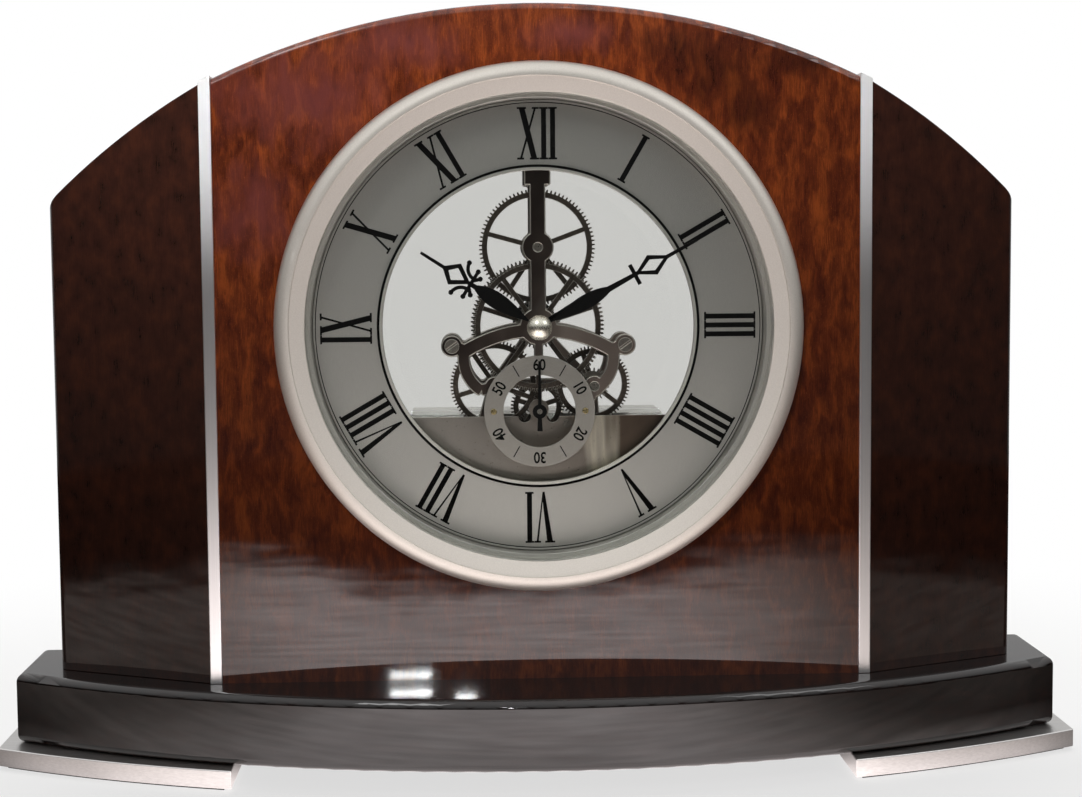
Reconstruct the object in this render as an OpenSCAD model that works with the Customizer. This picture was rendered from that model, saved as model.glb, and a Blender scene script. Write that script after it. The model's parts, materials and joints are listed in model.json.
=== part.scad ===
// Desk clock: an arched wooden case on two metal feet, with a round insert that shows an open movement.
// X runs to the right seen from the front, Y to the back and Z up. The origin is on the table, at the middle.

/* [Case] */
// Width of the centre panel between the metal strips
panel_w = 152; // [136:1:180]
// Thickness of the centre panel and of the wings
panel_t = 20; // [16:0.5:24]
// Radius of the arch over the panel and the wings
arch_r = 176; // [150:1:220]
// Height of the top of the arch above the table
arch_top = 181.8; // [176:0.2:200]
// Rounding of the panel's front edge along the arch
arch_edge_r = 1.5; // [0.5:0.1:3]
// Width of a metal strip
strip_w = 2.8; // [1.5:0.1:5]
// How far a strip stands out of the panel's front
strip_proud = 0.6; // [0.2:0.1:1.5]
// Width of a wing across the front
wing_w = 39; // [25:1:50]
// Angle by which a wing sweeps back
wing_sweep = 25.7; // [5:0.1:30]
// Rounding of a wing's outer upright edges
wing_edge_r = 3; // [1:0.5:6]

/* [Base and feet] */
// Height of the base slab
base_t = 17; // [12:0.5:22]
// Distance from the bowed front of the base to the panel
panel_setback = 23.2; // [15:0.1:30]
// Radius of the bowed front of the base
base_bow_r = 236; // [200:1:400]
// Rounding of the edges of the base
base_edge_r = 2; // [0.5:0.1:4]
// How far the base reaches past a wing at the side
base_margin = 10; // [4:0.5:16]
// How far the base reaches past the wings at the back
back_margin = 4; // [2:0.5:12]
// Thickness of a foot plate
foot_t = 4.4; // [3:0.1:8]
// Length of a foot plate along the front
foot_l = 59; // [40:1:90]
// Radius of the front of the foot plates
foot_bow_r = 265; // [210:1:420]
// How far the front line of the feet runs before the front of the base on the centre line
foot_front = 2.6; // [1:0.1:5]
// How far a foot stands out past the end of the base
foot_side = 3.7; // [1:0.1:6]
// Thickness of the pads under the feet
pad_t = 0.8; // [0.4:0.1:2]
// How far the pads lie inside the outline of the feet
pad_inset = 2; // [1:0.5:6]
// Radius of a case screw's shank
case_screw_r = 1.8; // [1.2:0.1:2.5]

/* [Insert] */
// Height of the centre of the dial above the table
hub_z = 106; // [104:0.5:112]
// Width of the bezel outside the shell
bezel_w = 7; // [5:0.1:10]
// Width of the rounded outer band of the bezel
bezel_band = 3.2; // [2:0.1:4]
// Height of the bezel's sloping band over the glass
bezel_lip = 1.7; // [1:0.1:3]
// Thickness of the glass
lens_t = 1.5; // [1:0.1:3]
// Outer diameter of the shell behind the bezel
shell_d = 110; // [108:0.2:111]
// Wall of the shell
shell_wall = 1.2; // [0.8:0.1:2]
// Thickness of the rubber ring that grips the hole
grip_t = 1.2; // [0.6:0.1:1.5]
// Depth of the clear rear cover behind the shell
cover_depth = 8; // [6:0.5:9]
// Wall of the clear rear cover
cover_wall = 1.5; // [1:0.1:2.5]

/* [Dial and hands] */
// Depth of the dial behind the front of the panel
dial_depth = 5; // [4:0.1:7]
// Thickness of the dial and of the seconds dial
dial_t = 0.8; // [0.5:0.1:1.5]
// Diameter of the opening in the dial
window_d = 76; // [70:0.2:80]
// Width of the bright lip round the opening
rim_w = 1.3; // [0.8:0.1:2]
// Outer diameter of the seconds dial
seconds_dial_d = 26.5; // [24:0.5:28]
// Opening of the seconds dial
seconds_open_d = 17.2; // [14:0.2:18]
// Height of the seconds dial in front of the main dial
dial_lift = 2.4; // [2.2:0.1:4]
// Thickness of a hand
hand_t = 0.4; // [0.2:0.05:0.6]
// Length of the minute hand from the centre
minute_hand_l = 42.5; // [41:0.5:48]
// Length of the hour hand from the centre
hour_hand_l = 33; // [31:0.5:36]
// Length of the seconds hand from the centre
seconds_hand_l = 12; // [9:0.5:12.5]
// Angle of the hour hand from twelve, clockwise
hour_angle = 302.8; // [0:0.2:360]
// Angle of the minute hand from twelve, clockwise
minute_angle = 61.4; // [0:0.2:360]

/* [Movement] */
// Thickness of the movement plates
plate_t = 1.8; // [1.4:0.1:2.4]
// Width of the upright bar of a plate
bar_w = 3.8; // [3:0.1:5]
// Width of the arms of a plate
arm_w = 3.4; // [2.6:0.1:4]
// Distance of a side lug from the centre line
lug_x = 20.7; // [20:0.1:22]
// Drop of the side lugs below the centre
lug_drop = 4.5; // [3:0.1:6]
// Radius of a side lug
lug_r = 2.6; // [2.2:0.1:3]
// Thickness of a wheel
wheel_t = 1; // [0.6:0.1:1.2]
// Gap between the wheels of neighbouring layers
wheel_gap = 1; // [0.6:0.1:1.2]
// Height of the minute wheel's axis above the centre
minute_rise = 18.9; // [18:0.1:20]
// Drop of the seconds axis below the centre
seconds_drop = 20; // [19.5:0.1:21]
// Distance of the idler's axis from the centre line
idler_x = 13.3; // [13:0.1:14]
// Tooth module of the centre wheel
train_module = 0.33; // [0.32:0.002:0.34]
// Tooth module of the third and seconds wheels
seconds_module = 0.28; // [0.272:0.002:0.288]
// Radius of the main arbors
arbor_r = 0.9; // [0.7:0.05:1]
// Radius of the seconds arbor
seconds_arbor_r = 0.6; // [0.4:0.05:0.7]

/* [Drive] */
// Distance from the centre down to the top of the drive case
case_drop = 22; // [21.9:0.1:23]
// Width of the drive case
case_w = 62; // [60:0.5:64]
// Height of the drive case
case_h = 17.5; // [17:0.1:18.5]
// Wall of the drive case
case_wall = 1; // [0.8:0.1:1.2]
// Diameter of the battery
battery_d = 14.2; // [13.8:0.1:14.4]
// Length of the battery without its nub
battery_l = 49.2; // [48:0.1:49.6]
// Tooth module of the motor's own gears
motor_module = 0.17; // [0.16:0.002:0.172]
// Diameter of the setting knob
knob_d = 11; // [8:0.5:14]
// Length of the setting knob
knob_l = 5.5; // [4:0.5:6]
// How far the battery door can slide
door_travel = 25; // [10:1:25]

/* [Hidden] */
$fn = 64;

// Clearances: running fits, push fits and seats
run = 0.05;
push = 0.02;
seat = 0.2;
cut = 1;

// Case layout
wing_x = panel_w / 2 + strip_w;
wing_back = wing_w * tan(wing_sweep);
base_half = wing_x + wing_w + base_margin;
base_d = panel_setback + panel_t + wing_back + back_margin;
base_front = -base_d / 2;
panel_y = base_front + panel_setback;
base_z = pad_t + foot_t;
panel_z = base_z + base_t;
arch_z = arch_top - arch_r;
foot_x = base_half + foot_side;
foot_set_in = 3;
foot_back = base_d / 2 - foot_set_in;

// Layers of the insert, measured back from the front of the panel
front_plate_y = dial_depth + dial_t;
first_gap = 0.8;
layer_step = wheel_t + wheel_gap;
function layer(k) = front_plate_y + plate_t + first_gap + k * layer_step;
hour_layer = layer(0);
minute_layer = layer(1);
centre_layer = layer(2);
third_layer = layer(3);
seconds_layer = layer(4);
back_plate_y = seconds_layer + wheel_t + first_gap;
plates_end = back_plate_y + plate_t;
hand_gap = 0.8;
seconds_dial_y = dial_depth - dial_lift;
seconds_hand_y = seconds_dial_y - hand_gap - hand_t;
hour_hand_y = seconds_hand_y - hand_gap - hand_t;
minute_hand_y = hour_hand_y - hand_gap - hand_t;
nut_h = 1.7;
lens_gap = 0.4;
lens_y = minute_hand_y - nut_h - lens_gap - lens_t;
lip_t = 0.6;
bezel_step = 0.5;
bezel_y = lens_y - bezel_lip - bezel_step;
shell_r = shell_d / 2;
bezel_r = shell_r + bezel_w;
hole_r = shell_r + grip_t + push;
lens_over = 1.2;
lens_r = shell_r + lens_over;
lens_seat_r = lens_r + seat;
lens_open_r = shell_r - seat;
shell_in_r = shell_r - shell_wall;
ledge_w = 3.8;
ledge_r = shell_in_r - ledge_w;
flange_w = 7.8;
flange_r = shell_in_r - flange_w;
flange_t = 1.5;
plug_l = 1;
shell_end = plates_end + flange_t + plug_l;
cover_end = shell_end + cover_depth;

// Tooth counts: minute to hour 12 to 1, minute to seconds 1 to 60, seconds to rotor 1 to 30
cannon_teeth = 32;
minute_teeth = 84;
minute_pinion_teeth = 21;
hour_teeth = 96;
centre_teeth = 96;
third_pinion_teeth = 12;
third_teeth = 75;
seconds_pinion_teeth = 10;
idler_pinion_teeth = 23;
idler_teeth = 64;
seconds_teeth = 45;
intermediate_pinion_teeth = 9;
intermediate_teeth = 48;
rotor_teeth = 8;

// Axes as seen from the front, from the centre of the dial
motion_module = 2 * minute_rise / (cannon_teeth + minute_teeth);
hour_module = 2 * minute_rise / (minute_pinion_teeth + hour_teeth);
third_reach = train_module * (centre_teeth + third_pinion_teeth) / 2;
seconds_reach = seconds_module * (third_teeth + seconds_pinion_teeth) / 2;
third_z = -(third_reach ^ 2 - seconds_reach ^ 2 + seconds_drop ^ 2) / (2 * seconds_drop);
third_x = sqrt(third_reach ^ 2 - third_z ^ 2);
intermediate_reach = seconds_module * (seconds_teeth + intermediate_pinion_teeth) / 2;
rotor_reach = motor_module * (intermediate_teeth + rotor_teeth) / 2;
hub = [0, 0];
minute_axis = [0, minute_rise];
third_axis = [-third_x, third_z];
idler_reach = train_module * (centre_teeth + idler_pinion_teeth) / 2;
idler_axis = [idler_x, -sqrt(idler_reach ^ 2 - idler_x ^ 2)];
seconds_axis = [0, -seconds_drop];
intermediate_axis = [0, -seconds_drop - intermediate_reach];
rotor_axis = intermediate_axis + [rotor_reach, 0];
lugs = [[-lug_x, -lug_drop], [lug_x, -lug_drop]];
pillar_over = 3.1;
top_pillar = [0, window_d / 2 + pillar_over];
pillar_axes = [lugs[0], lugs[1], top_pillar];
pin_x = (seconds_dial_d + seconds_open_d) / 4;
pin_axes = [[-pin_x, -seconds_drop], [pin_x, -seconds_drop]];

// Movement details
pipe_r = 1.7;
screw_r = 0.8;
screw_head_r = 1.75;
head_t = 0.7;
pillar_r = 1.6;
hub_boss_r = 4.5;
minute_boss_r = 3.8;
third_boss_r = 2.6;
seconds_boss_r = 1.8;
motor_arbor_r = 0.3;
intermediate_arbor_r = 0.5;
rear_foot_x = 14;
rear_foot_z = -case_drop - 5;
rear_feet = [[-rear_foot_x, rear_foot_z], [rear_foot_x, rear_foot_z]];
post_x = 24;
post_z = -case_drop - 12;
post_axes = [[-post_x, post_z], [post_x, post_z]];
post_r = 1.5;

// Drive case, from the back of the plates to the battery door
case_y = plates_end;
motor_y = case_y + case_wall;
motor_room = 4.4;
tray_y = motor_y + motor_room;
tray_t = 0.8;
bay_y = tray_y + tray_t;
case_end = bay_y + battery_d + seat;
case_low = -case_drop - case_h;
case_mid = -case_drop - case_h / 2;
battery_y = bay_y + battery_d / 2 + seat / 2;
magnet_r = 1.8;
drive_cover_t = 1;
door_t = 1.2;
tongue_l = 28;
tongue_w = 1;
tongue_d = 1.2;
tongue_gap = 0.4;
stator_t = 1.2;
stator_gap = 1.6;
stator_y = motor_y + stator_gap;
coil_r = 2.1;
coil_fall = 7;
coil_z = rotor_axis.y - coil_fall;
coil_y = stator_y + stator_t / 2;
knob_gap = 0.5;
knob_y = cover_end + knob_gap;
knob_cap = 1;
arbor_end = knob_y + knob_l - knob_cap;

// Tooth proportions: addendum, dedendum, share of the pitch, width half way up, width at the tip
wheel_form = [1.15, 1.35, 0.92, 0.76, 0.30];
leaf_form = [0.85, 1.55, 0.66, 0.80, 0.35];
even_form = [0.95, 1.25, 0.86, 0.78, 0.38];

// Outline of a toothed rim whose first tooth points along angle turn
function tooth_points(n, m, form, turn) =
  let (
    pitch = n * m / 2,
    tip = pitch + form[0] * m,
    root = pitch - form[1] * m,
    mid = pitch + 0.55 * (tip - pitch),
    half = 90 / n * form[2],
    side = [[root, 1], [pitch, 1], [mid, form[3]], [tip, form[4]]],
    flank = [for (s = side) [s[0], -s[1] * half]],
    tooth = concat(flank, [for (i = [3:-1:0]) [side[i][0], side[i][1] * half]])
  )
  [for (i = [0:n - 1]) for (p = tooth) p[0] * dir(turn + 360 * i / n + p[1])];
function dir(a) = [cos(a), sin(a)];
function angle_to(a, b) = atan2(b.y - a.y, b.x - a.x);
// Turn of a gear that meshes with one at turn first, along the line at angle way
function mesh_turn(first, n1, n2, way) = way + 180 - (first - way) * n1 / n2 + 180 / n2;

// Rest turn of each gear
minute_turn = mesh_turn(0, cannon_teeth, minute_teeth, 90);
hour_turn = mesh_turn(0, minute_pinion_teeth, hour_teeth, 270);
third_turn = mesh_turn(0, centre_teeth, third_pinion_teeth, angle_to(hub, third_axis));
idler_turn = mesh_turn(0, centre_teeth, idler_pinion_teeth, angle_to(hub, idler_axis));
seconds_turn = mesh_turn(0, third_teeth, seconds_pinion_teeth, angle_to(third_axis, seconds_axis));
intermediate_turn = mesh_turn(0, seconds_teeth, intermediate_pinion_teeth, 270);
rotor_turn = mesh_turn(0, intermediate_teeth, rotor_teeth, 0);

// Rounds corner b of an outline that runs from a by b to c
function unit(v) = v / norm(v);
function short_way(a) = (a + 900) % 360 - 180;
function corner_arc(a, b, c, r, steps = 8) =
  let (
    u = unit(a - b),
    v = unit(c - b),
    half = acos(u * v) / 2,
    centre = b + unit(u + v) * r / sin(half),
    from = angle_to(centre, b + u * r / tan(half)),
    sweep = short_way(angle_to(centre, b + v * r / tan(half)) - from)
  )
  [for (i = [0:steps]) centre + r * dir(from + sweep * i / steps)];

// A flat shape drawn as seen from the front, from depth y behind the panel's front, t thick
module slab(y, t) {
  translate([0, panel_y + y + t, hub_z]) rotate([90, 0, 0]) linear_extrude(t) children();
}
// A round bar along the depth, at a point seen from the front
module rod(y0, y1, r, at = [0, 0]) {
  translate([at.x, panel_y + y0, hub_z + at.y]) rotate([-90, 0, 0]) cylinder(h = y1 - y0, r = r);
}
// A turned shape about an axis along the depth, drawn as radius and depth
module turned(at = [0, 0]) {
  translate([at.x, panel_y, hub_z + at.y]) rotate([-90, 0, 0]) rotate_extrude() children();
}
// A box along the depth, with low corner and size in the dial's own coordinates
module block(low, high, y0, y1) {
  slab(y0, y1 - y0) translate(low) square(high - low);
}
module bar(a, b, w) {
  translate(a) rotate(angle_to(a, b)) translate([0, -w / 2]) square([norm(b - a), w]);
}
module ring(outer, inner) {
  difference() {
    circle(outer);
    circle(inner);
  }
}
module rounded(w, h, r) {
  square([w - 2 * r, h], center = true);
  square([w, h - 2 * r], center = true);
  for (x = [-1, 1], y = [-1, 1]) translate([x * (w / 2 - r), y * (h / 2 - r)]) circle(r);
}
// A spoked wheel, flat
module spoked(n, m, form, turn, hub_r, bore_r, spoke_turn, spokes = 5) {
  root = n * m / 2 - form[1] * m;
  rim_w = 1.3;
  spoke_w = 1.2;
  rim_in = root - rim_w;
  difference() {
    polygon(tooth_points(n, m, form, turn));
    difference() {
      circle(rim_in);
      circle(hub_r);
      for (i = [0:spokes - 1]) rotate(spoke_turn + 360 * i / spokes)
        translate([0, -spoke_w / 2]) square([rim_in, spoke_w]);
    }
    circle(bore_r);
  }
}
module pinion(n, m, form, turn, y, l, bore_r, at) {
  slab(y, l) translate(at) difference() {
    polygon(tooth_points(n, m, form, turn));
    circle(bore_r);
  }
}

// Case
module arch_disc(y, r, t, edge) {
  translate([0, panel_y + y, arch_z]) rotate([-90, 0, 0]) rotate_extrude($fn = 180) {
    square([r - edge, t]);
    translate([0, edge]) square([r, t - edge]);
    translate([r - edge, edge]) circle(edge);
  }
}
module base_bow(r, front, low, t, edge) {
  translate([0, front + r, low]) rotate_extrude($fn = 180) {
    square([r - edge, t]);
    translate([0, edge]) square([r, t - 2 * edge]);
    for (z = [edge, t - edge]) translate([r - edge, z]) circle(edge);
  }
}
module case_screw_holes(low, high, r) {
  for (p = case_screws) translate([p.x, p.y, low]) cylinder(h = high - low, r = r);
}
panel_screw_x = panel_w / 4;
wing_screw_x = wing_x + wing_w / 2;
panel_screw_y = panel_y + panel_t / 2;
case_screws = [for (s = [-1, 1]) each [
  [s * panel_screw_x, panel_screw_y],
  [s * wing_screw_x, panel_screw_y + wing_back / 2]
]];
case_head_r = 2 * case_screw_r;
case_head_t = 1.2 * case_screw_r;
case_bite = 12;
foot_screws_at = [for (s = [-1, 1], k = [0.25, 0.75])
  [s * (foot_x - k * foot_l), panel_screw_y + wing_back / 2]];

module base() {
  color("#1d1210") difference() {
    intersection() {
      base_bow(base_bow_r, base_front, base_z, base_t, base_edge_r);
      translate([0, base_d / 2, base_z + base_t / 2]) rotate([90, 0, 0])
        linear_extrude(base_d + base_edge_r) rounded(2 * base_half, base_t, base_edge_r);
    }
    case_screw_holes(base_z - cut, panel_z + cut, case_screw_r + push);
    case_screw_holes(base_z - cut, base_z + case_head_t, case_head_r + seat);
    for (p = foot_screws_at) translate([p.x, p.y, base_z - cut])
      cylinder(h = case_bite + cut, r = case_screw_r + push);
  }
}
// Plan of the right foot, drawn in by inset on every side
module foot_plan(low, t, inset) {
  intersection() {
    translate([0, base_front - foot_front + foot_bow_r, low])
      cylinder(h = t, r = foot_bow_r - inset, $fn = 180);
    translate([foot_x - foot_l + inset, base_front, low - cut])
      cube([foot_l - 2 * inset, foot_back - inset - base_front, t + 2 * cut]);
  }
}
module right_foot_plate() {
  color("#c9c7c2") difference() {
    foot_plan(pad_t, foot_t, 0);
    for (p = foot_screws_at) translate([p.x, p.y, pad_t - cut]) {
      cylinder(h = foot_t + 2 * cut, r = case_screw_r + push);
      cylinder(h = case_head_t + cut, r = case_head_r + seat);
    }
  }
}
module right_foot() {
  right_foot_plate();
}
module left_foot() {
  mirror([1, 0, 0]) right_foot_plate();
}
module foot_pads() {
  color("#2a2826") for (s = [0, 1]) mirror([s, 0, 0]) foot_plan(0, pad_t, pad_inset);
}
module case_screw(at, low, high) {
  translate([at.x, at.y, low]) {
    cylinder(h = case_head_t, r = case_head_r);
    cylinder(h = high - low, r = case_screw_r);
  }
}
module foot_screws() {
  color("#8f8f8f") for (p = foot_screws_at) case_screw(p, pad_t, base_z + case_bite);
}
module base_screws() {
  color("#8f8f8f") for (p = case_screws) case_screw(p, base_z, panel_z + case_bite);
}
module screw_bites() {
  case_screw_holes(panel_z - cut, panel_z + case_bite, case_screw_r + push);
}
module centre_panel() {
  color("#5c2213") difference() {
    intersection() {
      arch_disc(0, arch_r, panel_t, arch_edge_r);
      translate([-panel_w / 2, panel_y, panel_z]) cube([panel_w, panel_t, arch_r]);
    }
    rod(-cut, panel_t + cut, hole_r);
    screw_bites();
  }
}
module right_wing_board() {
  inner_front = [wing_x, 0];
  outer_front = [wing_x + wing_w, wing_back];
  outer_back = outer_front + [0, panel_t];
  inner_back = [wing_x, panel_t];
  outline = concat(
    [inner_front],
    corner_arc(inner_front, outer_front, outer_back, wing_edge_r),
    corner_arc(outer_front, outer_back, inner_back, wing_edge_r),
    [inner_back]
  );
  color("#2a1512") difference() {
    intersection() {
      translate([0, panel_y, panel_z]) linear_extrude(arch_r) polygon(outline);
      arch_disc(-cut, arch_r, panel_t + wing_back + 2 * cut, cut / 2);
    }
    screw_bites();
  }
}
module right_wing() {
  right_wing_board();
}
module left_wing() {
  mirror([1, 0, 0]) right_wing_board();
}
module right_strip_bar() {
  color("#dcdcda") intersection() {
    translate([panel_w / 2, panel_y - strip_proud, panel_z])
      cube([strip_w, panel_t + strip_proud, arch_r]);
    arch_disc(-cut - strip_proud, arch_r + strip_proud, panel_t + 3 * cut, cut / 2);
  }
}
module right_strip() {
  right_strip_bar();
}
module left_strip() {
  mirror([1, 0, 0]) right_strip_bar();
}

// Insert
module bezel() {
  step_w = 0.4;
  slope_r = bezel_r - bezel_band - step_w;
  slope_y = bezel_y + bezel_step;
  round_y = bezel_y + bezel_band;
  color("#cfc9bd") turned() difference() {
    union() {
      translate([bezel_r - bezel_band, round_y]) circle(bezel_band);
      translate([lens_open_r, bezel_y]) square([bezel_r - bezel_band - lens_open_r, -bezel_y]);
      translate([lens_open_r, round_y]) square([bezel_r - lens_open_r, -round_y]);
    }
    polygon([
      [0, bezel_y - cut], [slope_r, bezel_y - cut], [slope_r, slope_y],
      [lens_open_r, lens_y - lip_t], [0, lens_y - lip_t]
    ]);
    translate([0, lens_y]) square([lens_seat_r, cut - lens_y]);
  }
}
module lens() {
  color("#dfe8ec", 0.3) rod(lens_y, lens_y + lens_t, lens_r);
}
module lens_ring() {
  color("#8d8d8b") turned() translate([lens_open_r, lens_y + lens_t])
    square([lens_r - lens_open_r, -lens_y - lens_t]);
}
module case_notch(y0, y1) {
  block([-case_w / 2 - seat, case_low - seat], [case_w / 2 + seat, -case_drop + seat], y0, y1);
}
module insert_shell() {
  color("#a9a8a4") difference() {
    turned() {
      translate([shell_in_r, 0]) square([shell_wall, shell_end]);
      translate([ledge_r, front_plate_y]) square([shell_r - ledge_r, flange_t]);
      translate([flange_r, plates_end]) square([shell_r - flange_r, flange_t]);
    }
    case_notch(plates_end - cut, shell_end + cut);
  }
}
module grip_ring() {
  color("#222222") turned() translate([shell_r + push, panel_t / 4]) square([grip_t - push, panel_t / 2]);
}
module rear_cover() {
  color("#e6ecee", 0.35) difference() {
    turned() {
      translate([shell_r - cover_wall, shell_end]) square([cover_wall, cover_depth]);
      translate([0, cover_end - cover_wall]) square([shell_r, cover_wall]);
      translate([shell_in_r - seat / 2 - cover_wall, shell_end - plug_l])
        square([cover_wall, plug_l + cover_wall]);
    }
    case_notch(shell_end - 2 * cut, cover_end + cut);
    rod(shell_end, cover_end + cut, arbor_r + seat);
  }
}

// Dial
module dial() {
  color("#9a9c9b") slab(dial_depth, dial_t) ring(shell_in_r - seat, window_d / 2);
}
module window_rim() {
  rim_over = 0.4;
  rim_in_r = window_d / 2 + rim_over - rim_w;
  color("#e4e4e2") turned() {
    translate([rim_in_r, dial_depth - lip_t]) square([rim_w, lip_t]);
    translate([rim_in_r, dial_depth - lip_t]) square([rim_w - rim_over - push, lip_t + dial_t]);
  }
}
rivet_r = 0.7;
module seconds_dial() {
  color("#b9bab8") slab(seconds_dial_y, dial_t) difference() {
    translate(seconds_axis) ring(seconds_dial_d / 2, seconds_open_d / 2);
    for (p = pin_axes) translate(p) circle(rivet_r + push);
  }
}
module seconds_dial_pins() {
  rivet_proud = 0.15;
  shoulder_r = 1.2;
  color("#c8b98f") for (p = pin_axes) {
    rod(seconds_dial_y - rivet_proud, seconds_dial_y + dial_t + cut, rivet_r, p);
    rod(seconds_dial_y + dial_t, front_plate_y, shoulder_r, p);
  }
}

// Plates: one outline of bar, arched arms, side lugs and lower bands
module arc_band(centre, r, w, from, to) {
  reach = 2 * r;
  translate(centre) intersection() {
    ring(r + w / 2, r - w / 2);
    polygon([[0, 0], reach * dir(from), reach * dir((from + to) / 2), reach * dir(to)]);
  }
}
arm_r = 33.7;
arm_rise = 0.8;
arm_centre = [0, -arm_r - arm_rise];
arm_span = asin((lug_x - lug_r / 2) / arm_r);
band_w = 3;
band_r = 9.2;
band_centre = [lug_x - 12, -lug_drop - 3];
band_end = band_centre + band_r * dir(-55);
tail_l = 3.5;
flare_l = 7.5;
flare_w = bar_w + 2.5;
module plate_outline() {
  circle(hub_boss_r);
  translate(minute_axis) circle(minute_boss_r);
  bar(hub, top_pillar + [0, tail_l], bar_w);
  bar(top_pillar - [0, flare_l], top_pillar + [0, tail_l], flare_w);
  arc_band(arm_centre, arm_r, arm_w, 90 - arm_span, 90 + arm_span);
  for (s = [0, 1]) mirror([s, 0]) {
    translate(lugs[1]) circle(lug_r);
    arc_band(band_centre, band_r, band_w, -58, 22);
  }
  translate(third_axis) circle(third_boss_r);
  bar([-band_end.x, band_end.y], third_axis, band_w);
  translate(idler_axis) circle(third_boss_r);
  bar(band_end, idler_axis, band_w);
}
module plate_holes(centre_r) {
  circle(centre_r);
  translate(minute_axis) circle(arbor_r + run);
  translate(third_axis) circle(arbor_r + run);
  translate(idler_axis) circle(arbor_r + run);
  for (p = lugs) translate(p) circle(screw_r + push);
}
module front_plate() {
  stem_w = 2.2;
  pin_boss_r = 2.2;
  stem_end = [0, -seconds_drop + pin_x];
  color("#55524f") slab(front_plate_y, plate_t) difference() {
    union() {
      plate_outline();
      bar(hub, stem_end, stem_w);
      translate(stem_end) circle(stem_w / 2);
      for (i = [0, 1]) {
        bar([third_axis, idler_axis][i], pin_axes[i], band_w);
        translate(pin_axes[i]) circle(pin_boss_r);
      }
    }
    plate_holes(pipe_r + run);
  }
}
module back_plate() {
  plate_hold = 3;
  brace_w = 2.4;
  foot_w = 3;
  foot_boss_r = 2.2;
  color("#4d4a47") slab(back_plate_y, plate_t) difference() {
    union() {
      plate_outline();
      bar(hub, [0, flange_r + plate_hold], bar_w);
      bar(hub, third_axis, brace_w);
      bar(hub, idler_axis, brace_w);
      bar(third_axis, idler_axis, brace_w);
      bar([0, third_axis.y], seconds_axis, brace_w);
      translate(seconds_axis) circle(seconds_boss_r);
      for (i = [0, 1]) {
        bar([third_axis, idler_axis][i], rear_feet[i], foot_w);
        translate(rear_feet[i]) circle(foot_boss_r);
      }
    }
    plate_holes(arbor_r + run);
    translate(seconds_axis) circle(seconds_arbor_r + run);
    translate(top_pillar) circle(screw_r + push);
  }
}
module pillars() {
  bite = 4;
  color("#77736e") difference() {
    for (p = pillar_axes) rod(front_plate_y + plate_t, back_plate_y, pillar_r, p);
    for (p = pillar_axes) rod(back_plate_y - bite, back_plate_y + cut, screw_r + push, p);
    for (p = lugs) rod(front_plate_y, front_plate_y + plate_t + bite, screw_r + push, p);
  }
}
module slotted_head(y, at) {
  slot_w = 0.5;
  slot_turn = 35;
  difference() {
    rod(y, y + head_t, screw_head_r, at);
    slab(y - cut, cut + head_t / 2) translate(at) rotate(slot_turn)
      square([2 * screw_head_r + cut, slot_w], center = true);
  }
}
module plate_screws() {
  bite = 3.5;
  color("#9b9893") {
    for (p = lugs) {
      slotted_head(front_plate_y - head_t, p);
      rod(front_plate_y - head_t / 2, front_plate_y + plate_t + bite, screw_r, p);
    }
    for (p = pillar_axes) {
      rod(plates_end, plates_end + head_t, screw_head_r, p);
      rod(back_plate_y - bite, plates_end + head_t / 2, screw_r, p);
    }
  }
}

// Centre arbor and what turns with the minute hand
pinion_over = 0.2;
pinion_l = wheel_t + 2 * pinion_over;
module centre_arbor() {
  color("#b5b2ac") rod(minute_hand_y - nut_h / 2, arbor_end, arbor_r);
}
module cannon_pinion() {
  color("#a59a86") pinion(cannon_teeth, motion_module, even_form, 0, minute_layer - pinion_over, pinion_l,
    arbor_r + push, hub);
}
module centre_wheel() {
  color("#6f6a63") slab(centre_layer, wheel_t)
    spoked(centre_teeth, train_module, wheel_form, 0, 3, arbor_r + push, 18);
}
// Half width of a leaf-shaped blade at share s of its length
function leaf_half(s, w) = w / 2 * sin(180 * s ^ 1.35) ^ 0.8;
module leaf(from, to, w) {
  steps = 14;
  side = [for (i = [0:steps]) [leaf_half(i / steps, w), from + (to - from) * i / steps]];
  polygon(concat(side, [for (i = [steps - 1:-1:1]) [-side[i].x, side[i].y]]));
}
module open_diamond(from, to, wide_at, half, line) {
  difference() {
    polygon([[0, from], [half, wide_at], [0, to], [-half, wide_at]]);
    polygon([
      [0, from + 2 * line], [half - 1.4 * line, wide_at], [0, to - 2 * line], [-half + 1.4 * line, wide_at]
    ]);
  }
}
module hand_stem(from, to, w0, w1) {
  polygon([[-w0 / 2, from], [w0 / 2, from], [w1 / 2, to], [-w1 / 2, to]]);
}
module minute_hand() {
  eye_r = 2.6;
  cross_half = 2.6;
  cross_w = 0.95;
  line = 0.85;
  stem_w = 1.5;
  tip_w = 0.7;
  cross_at = 0.605 * minute_hand_l;
  diamond_end = 0.825 * minute_hand_l;
  color("#101010") slab(minute_hand_y, hand_t) rotate(-minute_angle) difference() {
    union() {
      circle(eye_r);
      leaf(2.4, 0.47 * minute_hand_l, 3.5);
      hand_stem(0.4 * minute_hand_l, cross_at + line, stem_w, cross_w);
      translate([-cross_half, cross_at - cross_w / 2]) square([2 * cross_half, cross_w]);
      open_diamond(cross_at, diamond_end, 0.715 * minute_hand_l, 2.6, line);
      hand_stem(diamond_end - 2 * line, minute_hand_l, cross_w, tip_w);
    }
    circle(arbor_r + push);
  }
}
module hand_nut() {
  nut_r = 3;
  nut_round = 3.8;
  color("#d6d4cf") difference() {
    turned() intersection() {
      translate([0, minute_hand_y - nut_h + nut_round]) circle(nut_round);
      translate([0, minute_hand_y - nut_h]) square([nut_r, nut_h]);
    }
    rod(minute_hand_y - nut_h / 2 - push, minute_hand_y + cut, arbor_r + push);
  }
}
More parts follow.
